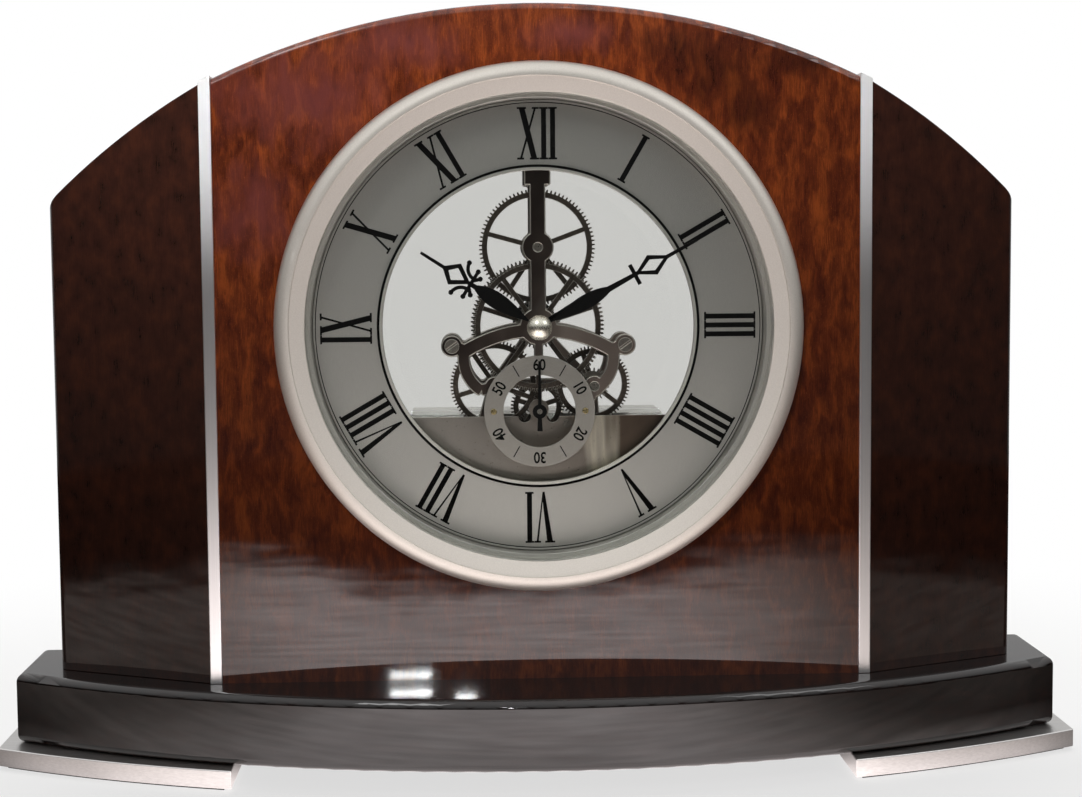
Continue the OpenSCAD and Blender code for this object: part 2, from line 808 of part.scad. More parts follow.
module set_knob() {
  flutes = 18;
  flute_r = 0.6;
  color("#3a3a38") difference() {
    rod(knob_y, knob_y + knob_l, knob_d / 2);
    rod(knob_y - cut, arbor_end + push, arbor_r + push);
    for (i = [0:flutes - 1])
      rod(knob_y + knob_cap, knob_y + knob_l + cut, flute_r, knob_d / 2 * dir(360 * i / flutes));
  }
}

// Hour pipe and what turns with the hour hand
module hour_pipe() {
  pipe_proud = 0.3;
  color("#a59a86") difference() {
    rod(hour_hand_y - pipe_proud, hour_layer + wheel_t, pipe_r);
    rod(hour_hand_y - cut, hour_layer + wheel_t + cut, arbor_r + run);
  }
}
module hour_wheel() {
  color("#77716a") slab(hour_layer, wheel_t)
    spoked(hour_teeth, hour_module, even_form, hour_turn, 3, pipe_r + push, 54);
}
// One side of the cross on the hour hand: an arm, a long curl towards the tip and a short one back
module curl(side) {
  line = 0.85;
  ball_r = 0.6;
  arm_l = 3.4;
  curl_r = 2.9;
  curl_end = 94;
  curl_at = [4.3, 0];
  spur_at = [2.2, -1.3];
  mirror([side, 0]) {
    bar([0, 0], [arm_l, 0], line);
    translate([arm_l, 0]) circle(ball_r);
    arc_band(curl_at, curl_r, line, curl_end, 180);
    translate(curl_at + curl_r * dir(curl_end)) circle(ball_r);
    bar([line, 0], spur_at, line);
    translate(spur_at) circle(ball_r);
  }
}
module hour_hand() {
  eye_r = 2.9;
  line = 0.9;
  stem_w = 1.5;
  tip_w = 0.7;
  cross_at = 0.58 * hour_hand_l;
  diamond_end = 0.82 * hour_hand_l;
  color("#101010") slab(hour_hand_y, hand_t) rotate(-hour_angle) difference() {
    union() {
      circle(eye_r);
      leaf(2.2, 0.565 * hour_hand_l, 4);
      hand_stem(0.48 * hour_hand_l, cross_at + line, stem_w, line);
      for (s = [0, 1]) translate([0, cross_at]) curl(s);
      open_diamond(cross_at, diamond_end, 0.715 * hour_hand_l, 2.9, line);
      hand_stem(diamond_end - 2 * line, hour_hand_l, line, tip_w);
    }
    circle(pipe_r + push);
  }
}

// Minute wheel, third wheel and idler: each a wheel on an arbor cut with its pinion
module arbor(at, teeth, m, form, turn, mesh_y, r) {
  rod(front_plate_y, plates_end, r, at);
  pinion(teeth, m, form, turn, mesh_y - pinion_over, pinion_l, r - push, at);
}
module minute_arbor() {
  color("#a59a86") arbor(minute_axis, minute_pinion_teeth, hour_module, even_form, 0, hour_layer, arbor_r);
}
module minute_wheel() {
  color("#6b665f") slab(minute_layer, wheel_t) translate(minute_axis)
    spoked(minute_teeth, motion_module, even_form, minute_turn, 2.6, arbor_r + push, 20.5);
}
module third_arbor() {
  color("#a59a86")
    arbor(third_axis, third_pinion_teeth, train_module, leaf_form, third_turn, centre_layer, arbor_r);
}
module third_wheel() {
  color("#6f6a63") slab(third_layer, wheel_t) translate(third_axis)
    spoked(third_teeth, seconds_module, wheel_form, 0, 2.2, arbor_r + push, 52);
}
module idler_arbor() {
  color("#a59a86")
    arbor(idler_axis, idler_pinion_teeth, train_module, leaf_form, idler_turn, centre_layer, arbor_r);
}
module idler_wheel() {
  color("#6f6a63") slab(third_layer, wheel_t) translate(idler_axis)
    spoked(idler_teeth, seconds_module, wheel_form, 0, 2.2, arbor_r + push, 34);
}

// Seconds arbor and what turns with the seconds hand
module seconds_arbor() {
  color("#a59a86") {
    rod(seconds_hand_y, plates_end, seconds_arbor_r, seconds_axis);
    pinion(seconds_pinion_teeth, seconds_module, leaf_form, seconds_turn, third_layer - pinion_over,
      pinion_l, seconds_arbor_r - push, seconds_axis);
  }
}
module seconds_wheel() {
  color("#77716a") slab(seconds_layer, wheel_t) translate(seconds_axis)
    spoked(seconds_teeth, seconds_module, wheel_form, 0, 1.6, seconds_arbor_r + push, 18);
}
module seconds_hand() {
  tail = 4.7;
  color("#101010") slab(seconds_hand_y, hand_t) translate(seconds_axis) difference() {
    union() {
      circle(1.7);
      hand_stem(-tail, 0, 1.3, 0.8);
      hand_stem(0, seconds_hand_l, 0.9, 0.5);
    }
    circle(seconds_arbor_r + push);
  }
}

// Motor train inside the drive case
module intermediate_arbor() {
  color("#d8d3c6") {
    rod(seconds_layer - pinion_over, tray_y + tray_t, intermediate_arbor_r, intermediate_axis);
    pinion(intermediate_pinion_teeth, seconds_module, leaf_form, intermediate_turn,
      seconds_layer - pinion_over, pinion_l, intermediate_arbor_r - push, intermediate_axis);
  }
}
motor_wheel_t = 0.6;
motor_gap = 0.5;
motor_wheel_y = motor_y + motor_gap;
module intermediate_wheel() {
  color("#e2ddd0") slab(motor_wheel_y, motor_wheel_t) translate(intermediate_axis) difference() {
    polygon(tooth_points(intermediate_teeth, motor_module, wheel_form, 0));
    circle(intermediate_arbor_r + push);
  }
}
module rotor() {
  magnet_gap = 0.3;
  color("#4a4a4c") {
    rod(case_y + case_wall / 2, tray_y + tray_t, motor_arbor_r, rotor_axis);
    pinion(rotor_teeth, motor_module, leaf_form, rotor_turn, motor_wheel_y - pinion_over / 2,
      motor_wheel_t + pinion_over, motor_arbor_r - push, rotor_axis);
    rod(motor_wheel_y + motor_wheel_t + magnet_gap, tray_y - magnet_gap, magnet_r, rotor_axis);
  }
}

// Drive case with the motor in front and the battery bay behind
cover_rise = 0.3;
cover_top = -case_drop + cover_rise;
cover_screw_x = 6.9;
cover_screw_fall = 1.8;
cover_screw = [cover_screw_x, cover_top - cover_screw_fall];
module drive_cover() {
  cover_over = 8;
  cover_r = window_d / 2 + cover_over;
  boss_r = 2.4;
  neck_w = 3.4;
  dip_r = 1.5;
  dip_x = 3.4;
  color("#3c3431") slab(hour_layer, drive_cover_t) difference() {
    union() {
      difference() {
        intersection() {
          circle(cover_r);
          translate([-cover_r, cover_top - 2 * cover_r]) square(2 * cover_r);
        }
        for (s = [-1, 1]) translate([s * dip_x, cover_top]) circle(dip_r);
      }
      translate(seconds_axis) circle(boss_r);
      bar(seconds_axis, [0, cover_top - cut], neck_w);
    }
    translate(seconds_axis) circle(seconds_arbor_r + run);
    translate(cover_screw) circle(screw_r + push);
    for (p = post_axes) translate(p) circle(screw_r + push);
  }
}
module cover_posts() {
  small_head_r = 1;
  color("#77736e") {
    for (p = post_axes) {
      rod(hour_layer + drive_cover_t, case_y, post_r, p);
      rod(hour_layer - head_t, hour_layer + drive_cover_t + cut, screw_r, p);
      rod(hour_layer - head_t, hour_layer, screw_head_r, p);
    }
    rod(hour_layer - head_t, hour_layer, small_head_r, cover_screw);
    rod(hour_layer - head_t, hour_layer + drive_cover_t, screw_r, cover_screw);
  }
}
case_half = case_w / 2;
module drive_case() {
  low = [-case_half, case_low];
  high = [case_half, -case_drop];
  wall = [case_wall, case_wall];
  color("#26262a") difference() {
    block(low, high, case_y, case_end);
    block(low + wall, high - wall, motor_y, case_end + cut);
    rod(case_y - cut, motor_y + cut, intermediate_arbor_r + run, intermediate_axis);
    rod(case_y + case_wall / 2 - push, motor_y + cut, motor_arbor_r + run, rotor_axis);
  }
}
contact_t = 0.5;
nub_l = 1;
battery_half = battery_l / 2;
module battery_tray() {
  low = [-case_half + case_wall + seat, case_low + case_wall + seat];
  high = [case_half - case_wall - seat, -case_drop - case_wall - seat];
  end_t = 1.2;
  left_end = -battery_half - 2 * contact_t;
  right_end = battery_half + nub_l + contact_t;
  wall_end = case_end - tongue_d - tongue_gap;
  color("#2e2e33") difference() {
    union() {
      block(low, high, tray_y, bay_y);
      block([left_end - end_t, low.y], [left_end, high.y], tray_y, wall_end);
      block([right_end, low.y], [right_end + end_t, high.y], tray_y, wall_end);
    }
    rod(tray_y - cut, bay_y + cut, intermediate_arbor_r + run, intermediate_axis);
    rod(tray_y - cut, bay_y + cut, motor_arbor_r + run, rotor_axis);
  }
}
stator_left = -12;
stator_right = 13.5;
leg_w = 2;
core_w = 1.6;
module stator() {
  air_gap = 0.4;
  eye_w = 1.4;
  arm_half = 1.2;
  bore_r = magnet_r + air_gap;
  eye_r = bore_r + eye_w;
  yoke_z = rotor_axis.y - eye_r + leg_w / 5;
  color("#8c8a86") slab(stator_y, stator_t) difference() {
    union() {
      translate(rotor_axis) circle(eye_r);
      bar([stator_left, yoke_z], [rotor_axis.x, yoke_z], leg_w);
      bar(rotor_axis, [stator_right, rotor_axis.y], 2 * arm_half);
      bar([stator_left, yoke_z + leg_w / 2], [stator_left, coil_z - core_w / 2], leg_w);
      bar([stator_right, rotor_axis.y + arm_half], [stator_right, coil_z - core_w / 2], leg_w);
      bar([stator_left, coil_z], [stator_right, coil_z], core_w);
    }
    translate(rotor_axis) circle(bore_r);
  }
}
module coil() {
  core_hole = 1.1;
  from = stator_left + leg_w / 2 + seat;
  to = stator_right - leg_w / 2 - seat;
  color("#9a5a2c") translate([from, panel_y + coil_y, hub_z + coil_z]) rotate([0, 90, 0]) difference() {
    cylinder(h = to - from, r = coil_r);
    translate([0, 0, -cut]) cylinder(h = to - from + 2 * cut, r = core_hole);
  }
}
board_t = 0.8;
board_x = -22;
module circuit_board() {
  board_w = 13;
  board_h = 12;
  half = [board_w / 2, board_h / 2];
  centre = [board_x, case_mid];
  color("#2f5a3a") block(centre - half, centre + half, tray_y - board_t, tray_y);
}
crystal_r = 1;
module crystal() {
  crystal_l = 6;
  depth = panel_y + tray_y - board_t - crystal_r - push;
  color("#c9c9c6") translate([board_x, depth, hub_z + case_mid - crystal_l / 2])
    cylinder(h = crystal_l, r = crystal_r);
}
module battery() {
  nub_r = 2.7;
  color("#2b2b2b") translate([0, panel_y + battery_y, hub_z + case_mid]) rotate([0, 90, 0]) {
    translate([0, 0, -battery_half]) cylinder(h = battery_l, r = battery_d / 2);
    cylinder(h = battery_half + nub_l, r = nub_r);
  }
}
module battery_contacts() {
  half = 4;
  spring_r = 3.2;
  color("#c4c4c0") {
    block([battery_half + nub_l, case_mid - half], [battery_half + nub_l + contact_t, case_mid + half],
      battery_y - half, battery_y + half);
    block([-battery_half - 2 * contact_t, case_mid - half], [-battery_half - contact_t, case_mid + half],
      battery_y - half, battery_y + half);
    translate([-battery_half - contact_t, panel_y + battery_y, hub_z + case_mid]) rotate([0, 90, 0])
      cylinder(h = contact_t, r1 = spring_r, r2 = spring_r / 2);
  }
}
module battery_door() {
  inset = case_wall + seat;
  tongue_x = case_half - door_travel - inset;
  ribs = 5;
  rib_w = 0.8;
  rib_h = 0.4;
  rib_half = 5;
  rib_x = 5 - case_half;
  color("#26262a") {
    block([-case_half, case_low], [case_half, -case_drop], case_end + push, case_end + door_t);
    for (z = [case_low + inset, -case_drop - inset - tongue_w])
      block([tongue_x - tongue_l, z], [tongue_x, z + tongue_w], case_end - tongue_d, case_end + door_t);
    for (i = [0:ribs - 1]) block([rib_x + 2 * i * rib_w, case_mid - rib_half],
      [rib_x + (2 * i + 1) * rib_w, case_mid + rib_half], case_end + door_t / 2, case_end + door_t + rib_h);
  }
}

base();
left_foot();
right_foot();
foot_pads();
foot_screws();
base_screws();
centre_panel();
left_wing();
right_wing();
left_strip();
right_strip();
bezel();
lens();
lens_ring();
insert_shell();
grip_ring();
rear_cover();
dial();
window_rim();
seconds_dial();
seconds_dial_pins();
front_plate();
back_plate();
pillars();
plate_screws();
centre_arbor();
cannon_pinion();
centre_wheel();
minute_hand();
hand_nut();
set_knob();
hour_pipe();
hour_wheel();
hour_hand();
minute_arbor();
minute_wheel();
third_arbor();
third_wheel();
idler_arbor();
idler_wheel();
seconds_arbor();
seconds_wheel();
seconds_hand();
intermediate_arbor();
intermediate_wheel();
rotor();
drive_cover();
cover_posts();
drive_case();
battery_tray();
stator();
coil();
circuit_board();
crystal();
battery();
battery_contacts();
battery_door();
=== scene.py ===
# Desk clock: arched lacquered case, satin bezel and an open skeleton movement, dressed for the render
import bpy
import bmesh
import json
import math
from mathutils import Matrix, Vector


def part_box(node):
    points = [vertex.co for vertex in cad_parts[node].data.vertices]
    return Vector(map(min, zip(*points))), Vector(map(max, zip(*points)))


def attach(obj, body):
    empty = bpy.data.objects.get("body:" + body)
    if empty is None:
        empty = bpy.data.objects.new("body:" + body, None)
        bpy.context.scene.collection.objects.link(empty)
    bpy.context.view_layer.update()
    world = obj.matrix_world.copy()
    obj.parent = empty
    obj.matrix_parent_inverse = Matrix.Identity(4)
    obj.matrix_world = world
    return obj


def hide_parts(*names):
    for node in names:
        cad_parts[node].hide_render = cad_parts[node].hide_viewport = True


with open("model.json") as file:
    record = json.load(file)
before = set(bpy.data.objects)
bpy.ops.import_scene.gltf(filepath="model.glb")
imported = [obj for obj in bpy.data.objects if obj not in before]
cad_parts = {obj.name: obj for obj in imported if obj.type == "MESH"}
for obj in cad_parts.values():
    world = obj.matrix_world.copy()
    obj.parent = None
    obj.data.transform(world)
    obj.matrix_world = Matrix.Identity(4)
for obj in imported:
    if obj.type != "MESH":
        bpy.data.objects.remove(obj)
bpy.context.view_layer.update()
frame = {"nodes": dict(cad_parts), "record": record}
record = frame["record"]
bodyOf = {node: body for body, nodes in record["behaviour"]["bodies"].items() for node in nodes}
mm = 0.001
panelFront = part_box("centre_panel")[0].y
hub = Vector((0, panelFront, 106 * mm))  # centre of the dial, level with the front of the panel
secondsHub = hub + Vector((0, 0, -20 * mm))  # centre of the seconds dial
noiseLow, noiseHigh = 0.3, 0.7  # nearly all of a noise lies between these
onePerUnit = math.pi / 10  # scale at which a wave pattern repeats once in each unit of its place
print("frame loaded:", len(frame["nodes"]), "nodes")


# Colours are written as sRGB and turned to linear light here
def linear(hexColour):
    shares = [int(hexColour[i:i + 2], 16) / 255 for i in (1, 3, 5)]
    return [s / 12.92 if s <= 0.04045 else ((s + 0.055) / 1.055) ** 2.4 for s in shares] + [1.0]


# Adds a node to a material or the world: lower case keys are its settings, and the others
# are sockets that take a value or a link
def addNode(mat, kind, wires):
    node = mat.node_tree.nodes.new("ShaderNode" + kind)
    for key, value in wires.items():
        if key == "ramp":
            stops = node.color_ramp.elements
            while len(stops) < len(value):
                stops.new(0.5)
            for stop, (place, colour) in zip(stops, value):
                stop.position = place
                stop.color = linear(colour) if isinstance(colour, str) else (colour, colour, colour, 1)
        elif isinstance(key, str) and key[0].islower():
            setattr(node, key, value)
        elif isinstance(value, bpy.types.NodeSocket):
            mat.node_tree.links.new(value, node.inputs[key])
        else:
            node.inputs[key].default_value = value
    return node


def startMaterial(name):
    mat = bpy.data.materials.new(name)
    mat.use_nodes = True
    mat.node_tree.nodes.clear()
    return mat


def endMaterial(mat, surface):
    addNode(mat, "OutputMaterial", {"Surface": surface.outputs[0]})
    return mat


# Place on the piece in millimetres, divided by the size of the pattern along each direction
def placeOn(mat, size=(1, 1, 1), centre=(0, 0, 0)):
    coords = addNode(mat, "TexCoord", {})
    moved = addNode(mat, "VectorMath", {"operation": "SUBTRACT", 0: coords.outputs["Object"], 1: tuple(centre)})
    shares = tuple(1 / (s * mm) for s in size)
    return addNode(mat, "VectorMath", {"operation": "MULTIPLY", 0: moved.outputs[0], 1: shares}).outputs[0]


# Place on a turned piece: the pattern changes every ring millimetres out from the axis and is drawn long around it
def placeAround(mat, centre, ring):
    perRadian = 6.0  # changes of the pattern in each radian round the axis
    coords = addNode(mat, "TexCoord", {})
    moved = addNode(mat, "VectorMath", {"operation": "SUBTRACT", 0: coords.outputs["Object"], 1: tuple(centre)})
    flat = addNode(mat, "VectorMath", {"operation": "MULTIPLY", 0: moved.outputs[0], 1: (1, 0, 1)}).outputs[0]
    radius = addNode(mat, "VectorMath", {"operation": "LENGTH", 0: flat}).outputs["Value"]
    way = addNode(mat, "VectorMath", {"operation": "NORMALIZE", 0: flat}).outputs[0]
    wide = addNode(mat, "VectorMath", {"operation": "SCALE", 0: way, "Scale": perRadian}).outputs[0]
    steps = addNode(mat, "Math", {"operation": "MULTIPLY", 0: radius, 1: 1 / (ring * mm)}).outputs[0]
    across = addNode(mat, "CombineXYZ", {"Y": steps}).outputs[0]
    return addNode(mat, "VectorMath", {"operation": "ADD", 0: wide, 1: across}).outputs[0]


# Metals share one build: marks of the tool as a noise that shifts the tone, the roughness and the surface a little.
# The marks have a size each way, or around a turning centre the spacing of their rings, and a depth, in millimetres
def metal(name, facts, around=None):
    mat = startMaterial(name)
    place = placeOn(mat, facts["marks"]) if around is None else placeAround(mat, around, facts["ring"])
    marks = addNode(mat, "TexNoise", {
        "Vector": place, "Scale": 1.0, "Detail": 3.0, "Roughness": 0.6}).outputs["Fac"]
    tones = addNode(mat, "ValToRGB", {
        "Fac": marks, "ramp": [(noiseLow, facts["deep"]), (noiseHigh, facts["tone"])]}).outputs["Color"]
    shine = addNode(mat, "MapRange", {
        "Value": marks, "From Min": noiseLow, "From Max": noiseHigh,
        "To Min": facts["rough"] + facts["spread"], "To Max": facts["rough"] - facts["spread"]}).outputs["Result"]
    relief = addNode(mat, "Bump", {
        "Height": marks, "Strength": 0.6, "Distance": facts["depth"] * mm}).outputs["Normal"]
    return endMaterial(mat, addNode(mat, "BsdfPrincipled", {
        "Base Color": tones, "Metallic": 1.0, "Roughness": shine, "Normal": relief}))


# Plated faces with a painted reflection of the room: the base tone runs through the given tones along one way from the
# hub, in soft uneven streaks
def paintedReflectionMetal(name, facts):
    mat = startMaterial(name)
    run = addNode(mat, "VectorMath", {
        "operation": "DOT_PRODUCT", 0: placeOn(mat, centre=hub), 1: facts["way"]}).outputs["Value"]
    streak = addNode(mat, "TexNoise", {
        "Vector": placeOn(mat, facts["streak"]), "Scale": 1.0, "Detail": 1.0}).outputs["Fac"]
    shifted = addNode(mat, "Math", {
        "operation": "MULTIPLY_ADD", 0: streak, 1: facts["wander"], 2: run}).outputs[0]
    meanShift = facts["wander"] / 2
    share = addNode(mat, "MapRange", {
        "Value": shifted, "From Min": facts["start"] + meanShift,
        "From Max": facts["end"] + meanShift}).outputs["Result"]
    tones = addNode(mat, "ValToRGB", {"Fac": share, "ramp": facts["tones"]}).outputs["Color"]
    grain = addNode(mat, "TexNoise", {
        "Vector": placeOn(mat, facts["grain"]), "Scale": 1.0, "Detail": 2.0}).outputs["Fac"]
    shine = addNode(mat, "MapRange", {
        "Value": grain, "To Min": facts["rough"] - facts["spread"],
        "To Max": facts["rough"] + facts["spread"]}).outputs["Result"]
    relief = addNode(mat, "Bump", {
        "Height": grain, "Strength": 0.5, "Distance": facts["depth"] * mm}).outputs["Normal"]
    return endMaterial(mat, addNode(mat, "BsdfPrincipled", {
        "Base Color": tones, "Metallic": 1.0, "Roughness": shine, "Normal": relief}))


# Plastics and paints share one build: the fine grain of mould or spray as a bump and a slight change of sheen
def plastic(name, facts):
    pitLow, pitHigh, sheen = 0.35, 0.65, 0.06
    mat = startMaterial(name)
    pits = addNode(mat, "TexNoise", {
        "Vector": placeOn(mat, (facts["grain"],) * 3), "Scale": 1.0, "Detail": 2.0}).outputs["Fac"]
    tones = addNode(mat, "ValToRGB", {
        "Fac": pits, "ramp": [(pitLow, facts["deep"]), (pitHigh, facts["tone"])]}).outputs["Color"]
    shine = addNode(mat, "MapRange", {
        "Value": pits, "To Min": facts["rough"] - sheen, "To Max": facts["rough"] + sheen}).outputs["Result"]
    relief = addNode(mat, "Bump", {
        "Height": pits, "Strength": 0.5, "Distance": facts["depth"] * mm}).outputs["Normal"]
    return endMaterial(mat, addNode(mat, "BsdfPrincipled", {
        "Base Color": tones, "Roughness": shine, "IOR": facts["ior"],
        "Specular IOR Level": facts.get("gloss", 0.5), "Normal": relief}))


# Camera, from a fit of the case's outlines to the picture: pixels, millimetres from the panel's front, and degrees
camera = {"focal": 1961.9, "imageWidth": 1082, "place": (-17.67, -461.96, 125.57),
          "yaw": 2.2198, "pitch": 4.4935, "roll": -0.4814, "sensor": 36, "nearest": 10}


def placeCamera(facts):
    yaw, pitch, roll = (math.radians(facts[k]) for k in ("yaw", "pitch", "roll"))
    ahead = Vector((math.sin(yaw) * math.cos(pitch), math.cos(yaw) * math.cos(pitch), -math.sin(pitch)))
    right = Vector((math.cos(yaw), -math.sin(yaw), 0))
    up = right.cross(ahead)
    turnedRight = math.cos(roll) * right + math.sin(roll) * up
    turnedUp = -math.sin(roll) * right + math.cos(roll) * up
    lens = bpy.data.cameras.new("photo camera")
    lens.sensor_fit = "HORIZONTAL"
    lens.sensor_width = facts["sensor"]
    lens.lens = facts["focal"] / facts["imageWidth"] * facts["sensor"]
    lens.clip_start = facts["nearest"] * mm
    obj = bpy.data.objects.new("photo_camera", lens)
    place = Vector(facts["place"]) * mm + Vector((0, panelFront, 0))
    axes = Matrix((turnedRight, turnedUp, -ahead)).transposed()
    obj.matrix_world = Matrix.Translation(place) @ axes.to_4x4()
    bpy.context.scene.collection.objects.link(obj)
    bpy.context.scene.camera = obj


placeCamera(camera)
bpy.context.scene.view_settings.view_transform = "Standard"
print("camera placed")

# Studio: pale floor, white surround, and a room that is dim at eye level and light under the ceiling. Floor lengths
# are in metres and its fibre in millimetres; room gives the light from straight down to straight up
studio = {"floorTone": "#f4f3f1", "floorPore": "#efeeec", "fibre": 0.16, "floorReach": 3.0,
          "liftNear": 0.68, "liftFrom": 0.15, "liftTo": 0.34,
          "room": [(0.0, 0.025), (0.545, 0.025), (0.66, 0.65), (0.85, 1.0), (1.0, 1.0)],
          "backFrom": 0.15, "backTo": 0.6, "backLight": 0.45, "mattShare": 0.12}


def flatSheet(name, half, height, material):
    mesh = bpy.data.meshes.new(name)
    corners = [(-half, -half, height), (half, -half, height), (half, half, height), (-half, half, height)]
    mesh.from_pydata(corners, [], [(0, 1, 2, 3)])
    mesh.materials.append(material)
    obj = bpy.data.objects.new(name, mesh)
    bpy.context.scene.collection.objects.link(obj)
    return obj


# Matt paper sheet: seen straight it is lifted to white away from the clock, and it keeps the shadow near it
def paperFloor(facts):
    mat = startMaterial("matt white studio paper")
    fibre = addNode(mat, "TexNoise", {
        "Vector": placeOn(mat, (facts["fibre"],) * 3), "Scale": 1.0, "Detail": 3.0}).outputs["Fac"]
    tone = addNode(mat, "ValToRGB", {
        "Fac": fibre, "ramp": [(noiseLow, facts["floorPore"]), (noiseHigh, facts["floorTone"])]})
    sheet = addNode(mat, "BsdfDiffuse", {"Color": tone.outputs["Color"]})
    white = addNode(mat, "Emission", {"Color": (1, 1, 1, 1), "Strength": 1.0})
    metres = placeOn(mat, (1000, 1000, 1000))
    away = addNode(mat, "VectorMath", {"operation": "LENGTH", 0: metres}).outputs["Value"]
    lift = addNode(mat, "MapRange", {
        "interpolation_type": "SMOOTHSTEP", "Value": away, "From Min": facts["liftFrom"],
        "From Max": facts["liftTo"], "To Min": facts["liftNear"], "To Max": 1.0})
    path = addNode(mat, "LightPath", {})
    share = addNode(mat, "Math", {
        "operation": "MULTIPLY", 0: path.outputs["Is Camera Ray"], 1: lift.outputs["Result"]})
    return endMaterial(mat, addNode(mat, "MixShader", {
        0: share.outputs[0], 1: sheet.outputs[0], 2: white.outputs[0]}))


# A glowing sheet, no lamp, seen only in gloss, that stands in for a lit pale cloth on the table: painted bright before
# the clock, with the painted light and shade of soft folds, and gone at the table's far edge (millimetres from the foot
# of the panel's front)
cloth = {"glow": 2.9, "tone": "#fff5f4", "sideTone": "#efe0d6", "half": 700, "lift": 0.3,
         # its far edge wanders, and comes nearer straight ahead
         "reach": 420, "wander": 70, "drift": (30, 24, 24), "notch": 110, "notchFrom": 30, "notchTo": 130,
         "fade": [(0.0, 0.4), (0.25, 0.6), (0.62, 1.0), (0.78, 0.9), (0.86, 0.3), (0.93, 0.05), (1.0, 0.0)],
         # painted light and shade of folds, calmer close to the base
         "fold": (34, 5.2, 5.2), "foldLow": 0.65, "foldHigh": 1.15,
         "calmFrom": 75, "calmTo": 130, "calmShare": 0.45,
         # painted shade: it dims to the sides, more on the right, and towards the back, darkest under the base
         "sideCentre": -14, "sideFrom": 45, "sideTo": 165,
         "leastLeft": 0.2, "leastRight": 0.12, "leastFrom": -160, "leastTo": 60,
         "backFrom": -22, "backTo": 10, "shadeUnderBase": 0.12,
         # radius of the base's bow, and the painted bright band along it
         "bow": 236, "nearFrom": 10, "nearTo": 40}


def glowingClothSheet(facts):
    mat = startMaterial("glowing sheet painted as a lit table cloth, seen in gloss")
    place = placeOn(mat, centre=(0, panelFront, 0))
    split = addNode(mat, "SeparateXYZ", {0: place})
    away = addNode(mat, "VectorMath", {"operation": "LENGTH", 0: place}).outputs["Value"]
    drift = addNode(mat, "TexNoise", {
        "Vector": placeOn(mat, facts["drift"]), "Scale": 1.0, "Detail": 2.0}).outputs["Fac"]
    shifted = addNode(mat, "Math", {
        "operation": "MULTIPLY_ADD", 0: drift, 1: 2.0 * facts["wander"], 2: away}).outputs[0]
    offCentre = addNode(mat, "Math", {"operation": "ABSOLUTE", 0: split.outputs["X"]}).outputs[0]
    notch = addNode(mat, "MapRange", {
        "interpolation_type": "SMOOTHSTEP", "Value": offCentre, "From Min": facts["notchFrom"],
        "From Max": facts["notchTo"], "To Min": facts["notch"], "To Max": 0.0}).outputs["Result"]
    shifted = addNode(mat, "Math", {"operation": "ADD", 0: shifted, 1: notch}).outputs[0]
    reach = addNode(mat, "MapRange", {
        "Value": shifted, "From Min": facts["wander"],
        "From Max": facts["wander"] + facts["reach"]}).outputs["Result"]
    fade = addNode(mat, "ValToRGB", {"Fac": reach, "ramp": facts["fade"]}).outputs["Color"]
    fold = addNode(mat, "TexNoise", {
        "Vector": placeOn(mat, facts["fold"]), "Scale": 1.0, "Detail": 3.0}).outputs["Fac"]
    wave = addNode(mat, "MapRange", {
        "Value": fold, "From Min": noiseLow, "From Max": noiseHigh,
        "To Min": facts["foldLow"], "To Max": facts["foldHigh"]}).outputs["Result"]
    aside = addNode(mat, "Math", {"operation": "SUBTRACT", 0: split.outputs["X"], 1: facts["sideCentre"]}).outputs[0]
    aside = addNode(mat, "Math", {"operation": "ABSOLUTE", 0: aside}).outputs[0]
    least = addNode(mat, "MapRange", {
        "Value": split.outputs["X"], "From Min": facts["leastFrom"], "From Max": facts["leastTo"],
        "To Min": facts["leastLeft"], "To Max": facts["leastRight"]}).outputs["Result"]
    side = addNode(mat, "MapRange", {
        "interpolation_type": "SMOOTHSTEP", "Value": aside, "From Min": facts["sideFrom"],
        "From Max": facts["sideTo"], "To Min": 1.0, "To Max": least}).outputs["Result"]
    bowCentre = (0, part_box("base")[0].y + facts["bow"] * mm, 0)
    before = addNode(mat, "VectorMath", {
        "operation": "LENGTH", 0: placeOn(mat, centre=bowCentre)}).outputs["Value"]
    near = addNode(mat, "MapRange", {
        "Value": before, "From Min": facts["bow"] + facts["nearFrom"],
        "From Max": facts["bow"] + facts["nearTo"], "To Min": 1.0, "To Max": 0.0}).outputs["Result"]
    side = addNode(mat, "Math", {"operation": "MAXIMUM", 0: side, 1: near}).outputs[0]
    back = addNode(mat, "MapRange", {
        "Value": split.outputs["Y"], "From Min": facts["backFrom"], "From Max": facts["backTo"],
        "To Min": 1.0, "To Max": facts["shadeUnderBase"]}).outputs["Result"]
    calm = addNode(mat, "MapRange", {
        "Value": before, "From Min": facts["bow"] + facts["calmFrom"], "From Max": facts["bow"] + facts["calmTo"],
        "To Min": facts["calmShare"], "To Max": 0.0}).outputs["Result"]
    wave = addNode(mat, "Mix", {0: calm, 2: wave, 3: 1.0}).outputs[0]
    strength = facts["glow"]
    for share in (fade, wave, side, back):
        strength = addNode(mat, "Math", {"operation": "MULTIPLY", 0: share, 1: strength}).outputs[0]
    tone = addNode(mat, "MixRGB", {0: side, 1: linear(facts["sideTone"]), 2: linear(facts["tone"])}).outputs[0]
    return endMaterial(mat, addNode(mat, "Emission", {"Color": tone, "Strength": strength}))


